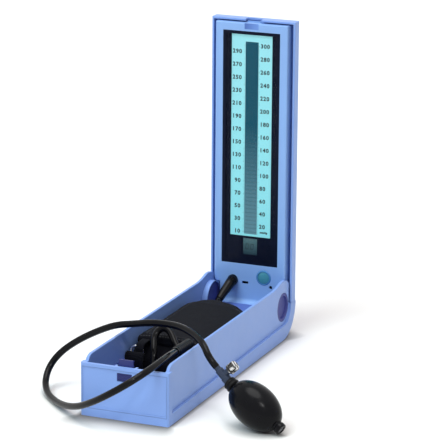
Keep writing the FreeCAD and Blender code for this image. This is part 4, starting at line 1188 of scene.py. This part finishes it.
@dataclass(frozen=True)
class Cuff(Assembly):
    """The folded arm cuff: a thick fold with a broad closing flap over it, a strap and a tongue. Millimetres.

    The side outlines are pairs of distance towards the front and height.
    """

    floor: float = 4.8
    pressed: float = 0.9
    half: float = 40.4
    fold_stuffing: Stuffing = Stuffing(0.0036, 0.0022, ((-0.0423, -0.0775, 0.0048), (0.0423, 0.089, 0.0455)))
    flap_stuffing: Stuffing = Stuffing(0.0024, 0.0016, ((-0.0415, -0.0635, 0.0436), (0.0415, 0.1045, 0.0508)))
    flap_outline: Outline = (
        (-39.6, -60), (39.6, -60), (39.6, 58), (34, 70), (24, 81), (10, 92), (-5, 99.5), (-16, 102),
        (-23, 101), (-30, 95), (-36, 84), (-39.6, 72))
    flap_low: float = 44.5
    flap_high: float = 49.2
    flap_middle: float = 21
    flap_half_length: float = 81
    flap_rise: float = 4.0
    rise_from: float = 46
    stitch_insets: tuple[float, ...] = (3.4, 8.2)
    stitch_pitch: float = 3.1
    stitch_length: float = 1.9
    stitch_half_width: float = 0.24
    stitch_height: float = 0.22
    tongue_side: Outline = ((75.6, 7), (78.4, 13), (81.8, 21), (83.9, 29), (83.6, 35), (81.8, 39),
                            (79.6, 40.2), (78.9, 38.2))
    tongue_middle: float = -31.6
    tongue_half: float = 10.4
    tongue_bulge: float = 1.1
    tongue_thick: float = 2.2
    keeper_side: Outline = ((57, 48.6), (65, 48.9), (70.5, 48.6), (74.6, 47.5), (77, 44.8), (77.8, 41.5),
                            (77.4, 37.5))
    keeper_edges: tuple[float, float] = (-32.4, -23.8)
    keeper_thick: float = 1.2

    def lift(self, piece: Piece) -> None:
        """Crown the flap: its top rises towards the middle and towards its left edge, and less at its ends.

        Args:
            piece: the flap.
        """
        front, front_fade, back, back_fade, back_least = -78, 22, 112, 40, 0.25
        points = coordinates(piece.data) / MM
        x, y, z = points.T
        crown = 1 - (x / (self.half + 3)) ** 2
        tilt = 0.5 - x / (2 * self.half)
        ends = np.clip((y - front) / front_fade, 0, 1) * np.clip((back - y) / back_fade, back_least, 1)
        share = np.clip((z - self.rise_from) / 3, 0, 1)
        points[:, 2] += self.flap_rise * (0.45 * crown + 0.55 * tilt) * ends * share
        piece.data.vertices.foreach_set("co", (points * MM).ravel())

    def finish(self, piece: Piece, material: Material | None = None) -> Piece:
        """Dress a soft piece, let it ride on the base and give it a mesh of its own.

        Args:
            piece: the object.
            material: what it wears instead of the cloth.

        Returns:
            The same object.
        """
        self.bench.enter(piece, Slot.CLOTH, "base", material)
        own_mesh(piece)
        return piece

    def body(self) -> Piece:
        """The thick fold under the flap, swollen from its CAD solid.

        Returns:
            The new piece.
        """
        fold = add_object("cuff_fold", self.bench.nodes["cuff_wrap"].data.copy())
        self.fold_stuffing.swell(fold)
        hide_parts("cuff_wrap")
        return self.finish(fold)

    def flap(self) -> Piece:
        """The closing flap.

        Returns:
            The new piece.
        """
        outline = np.array(self.flap_outline)
        flap = slab("cuff_flap_cloth", outline * MM, self.flap_low * MM, self.flap_high * MM)
        self.flap_stuffing.swell(flap)
        self.lift(flap)
        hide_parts("cuff_flap")
        return self.finish(flap)

    def hem(self, flap: Piece) -> Piece:
        """Rows of stitches round the flap: short cards along its outline drawn inwards, laid on its surface.

        Args:
            flap: the cloth that they lie on.

        Returns:
            The new piece.
        """
        bpy.context.view_layer.update()
        tree = BVHTree.FromObject(flap, bpy.context.evaluated_depsgraph_get())
        corners = np.array(self.flap_outline + self.flap_outline[:1])
        thread = []
        for inset in self.stitch_insets:
            loop = corners * (1 - inset / np.array([self.half, self.flap_half_length]))
            loop += np.array([0, self.flap_middle * inset / self.flap_half_length])
            start = np.arange(0, run_of(loop)[-1], self.stitch_pitch)
            thread.append(np.stack([points_at(loop, start), points_at(loop, start + self.stitch_length)], 1))
        first, second = np.vstack(thread).transpose(1, 0, 2)
        ahead = second - first
        across = np.stack([-ahead[:, 1], ahead[:, 0]], 1)
        across *= self.stitch_half_width / np.linalg.norm(across, axis=1)[:, None]
        cards = np.stack([first - across, second - across, second + across, first + across], 1)
        flat = cards.reshape(-1, 2) * MM
        above, missed = 0.1, 0.05
        hits = [tree.ray_cast(Vector((x, y, above)), Vector((0, 0, -1)))[0] for x, y in flat.tolist()]
        height = np.array([hit.z if hit else missed for hit in hits]) + self.stitch_height * MM
        piece = flat_cards("cuff_stitches", np.column_stack([flat, height]))
        return self.finish(piece, Ink("Thread", (0.03, 0.03, 0.036)).build())

    def strip(self, name: str, side: np.ndarray, across: np.ndarray, bulge: np.ndarray | float,
              thick: float) -> Piece:
        """A strip of cloth: a side outline carried across, pushed to the front by the bulge.

        Args:
            name: the piece's name.
            side: distances towards the front and heights, (n, 2).
            across: the places that the outline is carried to.
            bulge: how far each of them is pushed.
            thick: the cloth's thickness.

        Returns:
            The new object.
        """
        grid = np.stack(np.broadcast_arrays(across, -side[:, :1] - bulge, side[:, 1:]), 2)
        piece = mesh_piece(name, grid.reshape(-1, 3) * MM, grid_quads(len(side), len(across)))
        cloth = piece.modifiers.new("Thickness", "SOLIDIFY")
        cloth.thickness = thick * MM
        cloth.offset = 0
        return piece

    def tongue(self) -> Piece:
        """The padded tongue at the front left, which stands up before the ring and curls over at its top.

        Returns:
            The new piece.
        """
        share = np.linspace(-1, 1, 13)
        across = self.tongue_middle + self.tongue_half * share
        piece = self.strip("cuff_tongue", smooth_profile(self.tongue_side, 6), across,
                           self.tongue_bulge * (1 - share**2), self.tongue_thick)
        smoother(piece)
        return self.finish(settle(piece))

    def keeper(self) -> Piece:
        """The narrow strap that runs over the ring's top bar and holds it.

        Returns:
            The new piece.
        """
        side = smooth_profile(self.keeper_side, 5)
        piece = self.strip("cuff_keeper", side, np.linspace(*self.keeper_edges, 7), 0, self.keeper_thick)
        return self.finish(settle(piece))

    def build(self) -> list[Piece]:
        """Make the whole cuff.

        Returns:
            The new pieces.
        """
        fold = self.body()
        flap = self.flap()
        return [fold, flap, self.hem(flap), self.tongue(), self.keeper()]


# ------------------------------------------------------------------ scale


@dataclass(frozen=True)
class ScalePrint(Assembly):
    """The numbers, tick marks and unit on the scale plate, and the noughts on the readout. Millimetres."""

    face_y: float = 160.72
    zero_z: float = 106.9
    per_unit: float = 0.728
    top: int = 300
    right_x: float = 15.4
    left_x: float = -17.4
    short_shift: float = 1.6
    letter: float = 4.4
    type_size: float = 1.42  # type size over letter height
    boldness: float = 0.23
    spacing: float = 1.2
    unit_letter: float = 2.0
    unit_shift: float = 0.3
    unit_value: float = 11.2
    tick_inner: float = 8.1
    tick_outer: tuple[float, float] = (9.2, 8.7)
    tick_half: tuple[float, float] = (0.16, 0.11)
    tick_span: tuple[float, float] = (112.2, 329.6)
    digits_x: tuple[float, float] = (-3.6, 2.2)
    digit_z: float = 97.6
    digit_half: tuple[float, float] = (1.5, 2.9)
    digit_bar: float = 0.34
    digit_gap: float = 0.3
    digit_lean: float = 0.12

    def height(self, value: float) -> float:
        """The height of a value on the scale."""
        return self.zero_z + value * self.per_unit

    def word(self, text: str, x: float, z: float, size: float) -> Piece:
        """One printed word, centred on a point.

        Args:
            text: what it says.
            x: centre across.
            z: centre up.
            size: letter height.

        Returns:
            A text object.
        """
        data = bpy.data.curves.new("print_" + text, "FONT")
        data.body = text
        data.size = size * self.type_size * MM
        data.align_x = "CENTER"
        data.align_y = "CENTER"
        data.offset = self.boldness * MM
        data.space_character = self.spacing
        data.resolution_u = 3
        made = add_object("print_" + text, data)
        made.matrix_world = (Matrix.Translation((x * MM, self.face_y * MM, z * MM))
                             @ Matrix.Rotation(math.pi / 2, 4, "X"))
        return made

    def digit(self, x: float) -> Piece:
        """A nought of six bars on the small readout, leaning to the right.

        Args:
            x: its centre across.

        Returns:
            A mesh object.
        """
        (wide, tall), bar, gap = self.digit_half, self.digit_bar, self.digit_gap
        boxes = [(-wide, wide, tall - bar, tall + bar), (-wide, wide, -tall - bar, -tall + bar)]
        boxes += [(s * wide - bar, s * wide + bar, z - tall / 2 + gap, z + tall / 2 - gap)
                  for s in (-1, 1) for z in (-tall / 2, tall / 2)]
        corners = np.array([[(a, c), (b, c), (b, d), (a, d)] for a, b, c, d in boxes]).reshape(-1, 2)
        across = corners[:, 0] + corners[:, 1] * self.digit_lean + x
        points = np.column_stack([across, np.full(len(corners), self.face_y), corners[:, 1] + self.digit_z])
        return flat_cards(f"digit_{x}", points * MM)

    def ticks(self) -> Piece:
        """Every graduation as one flat bar: long ones each ten units, short ones each two.

        Returns:
            The new piece.
        """
        values = np.arange(0, self.top + 1, 2)
        z = self.height(values)
        seen = (z > self.tick_span[0]) & (z < self.tick_span[1])
        ten = values[seen] % 10 == 0
        outer, half = (np.where(ten, *sizes) for sizes in (self.tick_outer, self.tick_half))
        z, inner = z[seen], np.full(len(ten), self.tick_inner)
        bars = [np.stack([side * inner, z - half, side * outer, z - half,
                          side * outer, z + half, side * inner, z + half], 1) for side in (-1, 1)]
        flat = np.vstack(bars).reshape(-1, 2)
        points = np.column_stack([flat[:, 0], np.full(len(flat), self.face_y), flat[:, 1]])
        return flat_cards("scale_ticks", points * MM)

    def build(self) -> list[Piece]:
        """Print the whole scale and join the words into one piece.

        Returns:
            The new pieces.
        """
        made = []
        for x, inward, first in ((self.right_x, -self.short_shift, 20), (self.left_x, self.short_shift, 10)):
            for value in range(first, self.top + 1, 20):
                shift = 0 if value >= 100 else inward
                made.append(self.word(str(value), x + shift, self.height(value), self.letter))
        unit_x = self.right_x + self.unit_shift
        made.append(self.word("mmHg", unit_x, self.height(self.unit_value), self.unit_letter))
        made += [self.digit(x) for x in self.digits_x]
        ink = Ink("ScaleInk", linear(0, 18, 28)).build()
        pieces = (join("scale_numbers", made), self.ticks())
        return [self.bench.enter(piece, Slot.SCALE, "lid", ink) for piece in pieces]


# ------------------------------------------------------------------ stage


@dataclass(frozen=True)
class Camera:
    """The camera, in the row frame."""

    place: Point = (1.0514, -2.4706, 0.8804)
    right: Point = (0.92387, 0.38263, 0.00738)
    up: Point = (-0.10528, 0.23557, 0.96614)
    focal_pixels: float = 2635.84
    picture_pixels: float = 447.0
    sensor: float = 36

    def build(self) -> None:
        """Make the camera and use it."""
        data = bpy.data.cameras.new("Camera")
        data.sensor_width = self.sensor
        data.lens = self.focal_pixels / self.picture_pixels * self.sensor
        data.clip_start, data.clip_end = 0.1, 50
        camera = add_object("Camera", data)
        right, up = Vector(self.right), Vector(self.up)
        axes = Matrix((right, up, right.cross(up))).transposed()
        camera.matrix_world = Matrix.Translation(self.place) @ axes.to_4x4()
        bpy.context.scene.camera = camera


@dataclass(frozen=True)
class Sun:
    """One broad, even light."""

    name: str
    towards: Point  # direction from the object to the light
    spread: float  # its apparent size in degrees
    level: float  # the brightness it gives a white surface that faces it
    shines: bool = True  # whether polished surfaces mirror it
    tint: Colour = (1, 1, 1)

    def build(self) -> None:
        """Hang the light."""
        data = bpy.data.lights.new(self.name, "SUN")
        data.color = self.tint
        data.angle = math.radians(self.spread)
        data.energy = self.level * math.pi
        lamp = add_object(self.name, data)
        towards = Vector(self.towards)
        facing = (-towards).to_track_quat("-Z", "Y").to_matrix().to_4x4()
        lamp.matrix_world = Matrix.Translation(towards * 3) @ facing
        lamp.visible_glossy = self.shines


@dataclass(frozen=True)
class Studio:
    """A white floor with painted shadow round the object, under soft daylight from the front and above.
    Metres.
    """

    floor_colour: Colour = (0.93, 0.895, 0.868)
    floor_half: float = 40
    # painted shadow on the floor near anything close by, from ambient occlusion
    contact_reach: float = 0.024
    contact_open: tuple[float, float] = (0.5, 0.93)
    contact_dark: float = 0.7
    # painted shadow round the case's foot
    case_shift: tuple[float, float] = (0, 0.0175)
    case_half: tuple[float, float] = (0.049, 0.159)
    foot_dark: float = 0.28
    side_fade: float = 0.006
    side_spread: float = 0.7
    end_fade: float = 0.036
    sky: float = 0.34
    sky_low: float = 0.45
    sky_high: float = 1.5
    sky_top: float = 0.9
    suns: tuple[Sun, ...] = (
        Sun("Key", (-0.32, -0.6, 0.73), 40, 0.52, False, (0.8, 1.0, 1.05)),
        Sun("Top", (-0.05, -0.05, 1.0), 40, 0.46),
        Sun("Fill", (0.43, -0.52, 0.74), 8, 0.15),
    )

    def foot(self, sheet: Sheet) -> Socket:
        """The painted shadow round a standing box's foot on the floor.

        Args:
            sheet: the floor's material under construction.

        Returns:
            A value socket, lowest at the box's edge and 1 beyond the fade.
        """
        axes = sheet.axes()
        outside = []
        for axis, shift, half in zip("XY", self.case_shift, self.case_half):
            offset = sheet.calc("ABSOLUTE", sheet.calc("ADD", axes[axis], shift))
            outside.append(sheet.calc("MAXIMUM", sheet.calc("SUBTRACT", offset, half), 0))
        side, end = outside
        fade = sheet.calc("ADD", sheet.calc("MULTIPLY", end, self.side_spread), self.side_fade)
        across = sheet.calc("POWER", sheet.calc("DIVIDE", side, fade), 2)
        along = sheet.calc("POWER", sheet.calc("DIVIDE", end, self.end_fade), 2)
        return sheet.ramp(sheet.calc("SQRT", sheet.calc("ADD", across, along)), 0, 1, self.foot_dark, 1)

    def floor(self) -> None:
        """Lay the floor; for camera rays painted shadow darkens it where the object stands on it."""
        side = self.floor_half
        corners = np.array([(-side, -side, 0), (side, -side, 0), (side, side, 0), (-side, side, 0)], float)
        floor = flat_cards("floor", corners)
        sheet = Sheet("Floor")
        shader = sheet.principled(self.floor_colour, 0.9, 0.0)
        near = sheet.node("AmbientOcclusion", samples=12, Distance=self.contact_reach)
        painted_contact_shadow = sheet.ramp(near.outputs["AO"], *self.contact_open, self.contact_dark, 1.0)
        unseen = sheet.calc("SUBTRACT", 1, sheet.node("LightPath").outputs["Is Camera Ray"])
        # painted shadow: camera rays see the floor darkened near the object and round the case's foot
        level = sheet.calc("MAXIMUM", sheet.calc("MULTIPLY", painted_contact_shadow, self.foot(sheet)), unseen)
        sheet.link(sheet.mix(level, (0, 0, 0), self.floor_colour), shader.inputs["Base Color"])
        floor.data.materials.append(sheet.material)

    def world(self) -> None:
        """Light the scene from all round, more from above; cameras, polish and glass see plain white."""
        sheet = Sheet("World", world=True)
        background = sheet.node("Background", Color=(1, 1, 1, 1))
        sheet.link(background.outputs[0], sheet.output.inputs["Surface"])
        ends = self.sky * self.sky_low, self.sky * self.sky_high
        level = sheet.ramp(sheet.axes("Generated")["Z"], 0.0, self.sky_top, *ends)
        rays = sheet.node("LightPath").outputs
        for kind in ("Is Camera Ray", "Is Glossy Ray", "Is Transmission Ray"):
            level = sheet.calc("MAXIMUM", level, rays[kind])
        sheet.link(level, background.inputs["Strength"])
        bpy.context.scene.world = sheet.material

    def build(self) -> None:
        """Make floor, lights and world."""
        self.floor()
        for sun in self.suns:
            sun.build()
        self.world()
        bpy.context.scene.view_settings.view_transform = "Standard"


def main() -> None:
    """Build the looks of the whole object and report each piece."""
    logging.basicConfig(level=logging.INFO)
    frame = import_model()
    bench = Bench(frame)
    for assembly in (Hoses, PanelTrim, Bulb, Cuff, ScalePrint):
        for piece in assembly(bench).build():
            LOG.info("%s made %s", assembly.__name__, piece.name)
    Camera().build()
    Studio().build()


if __name__ == "__main__":
    main()
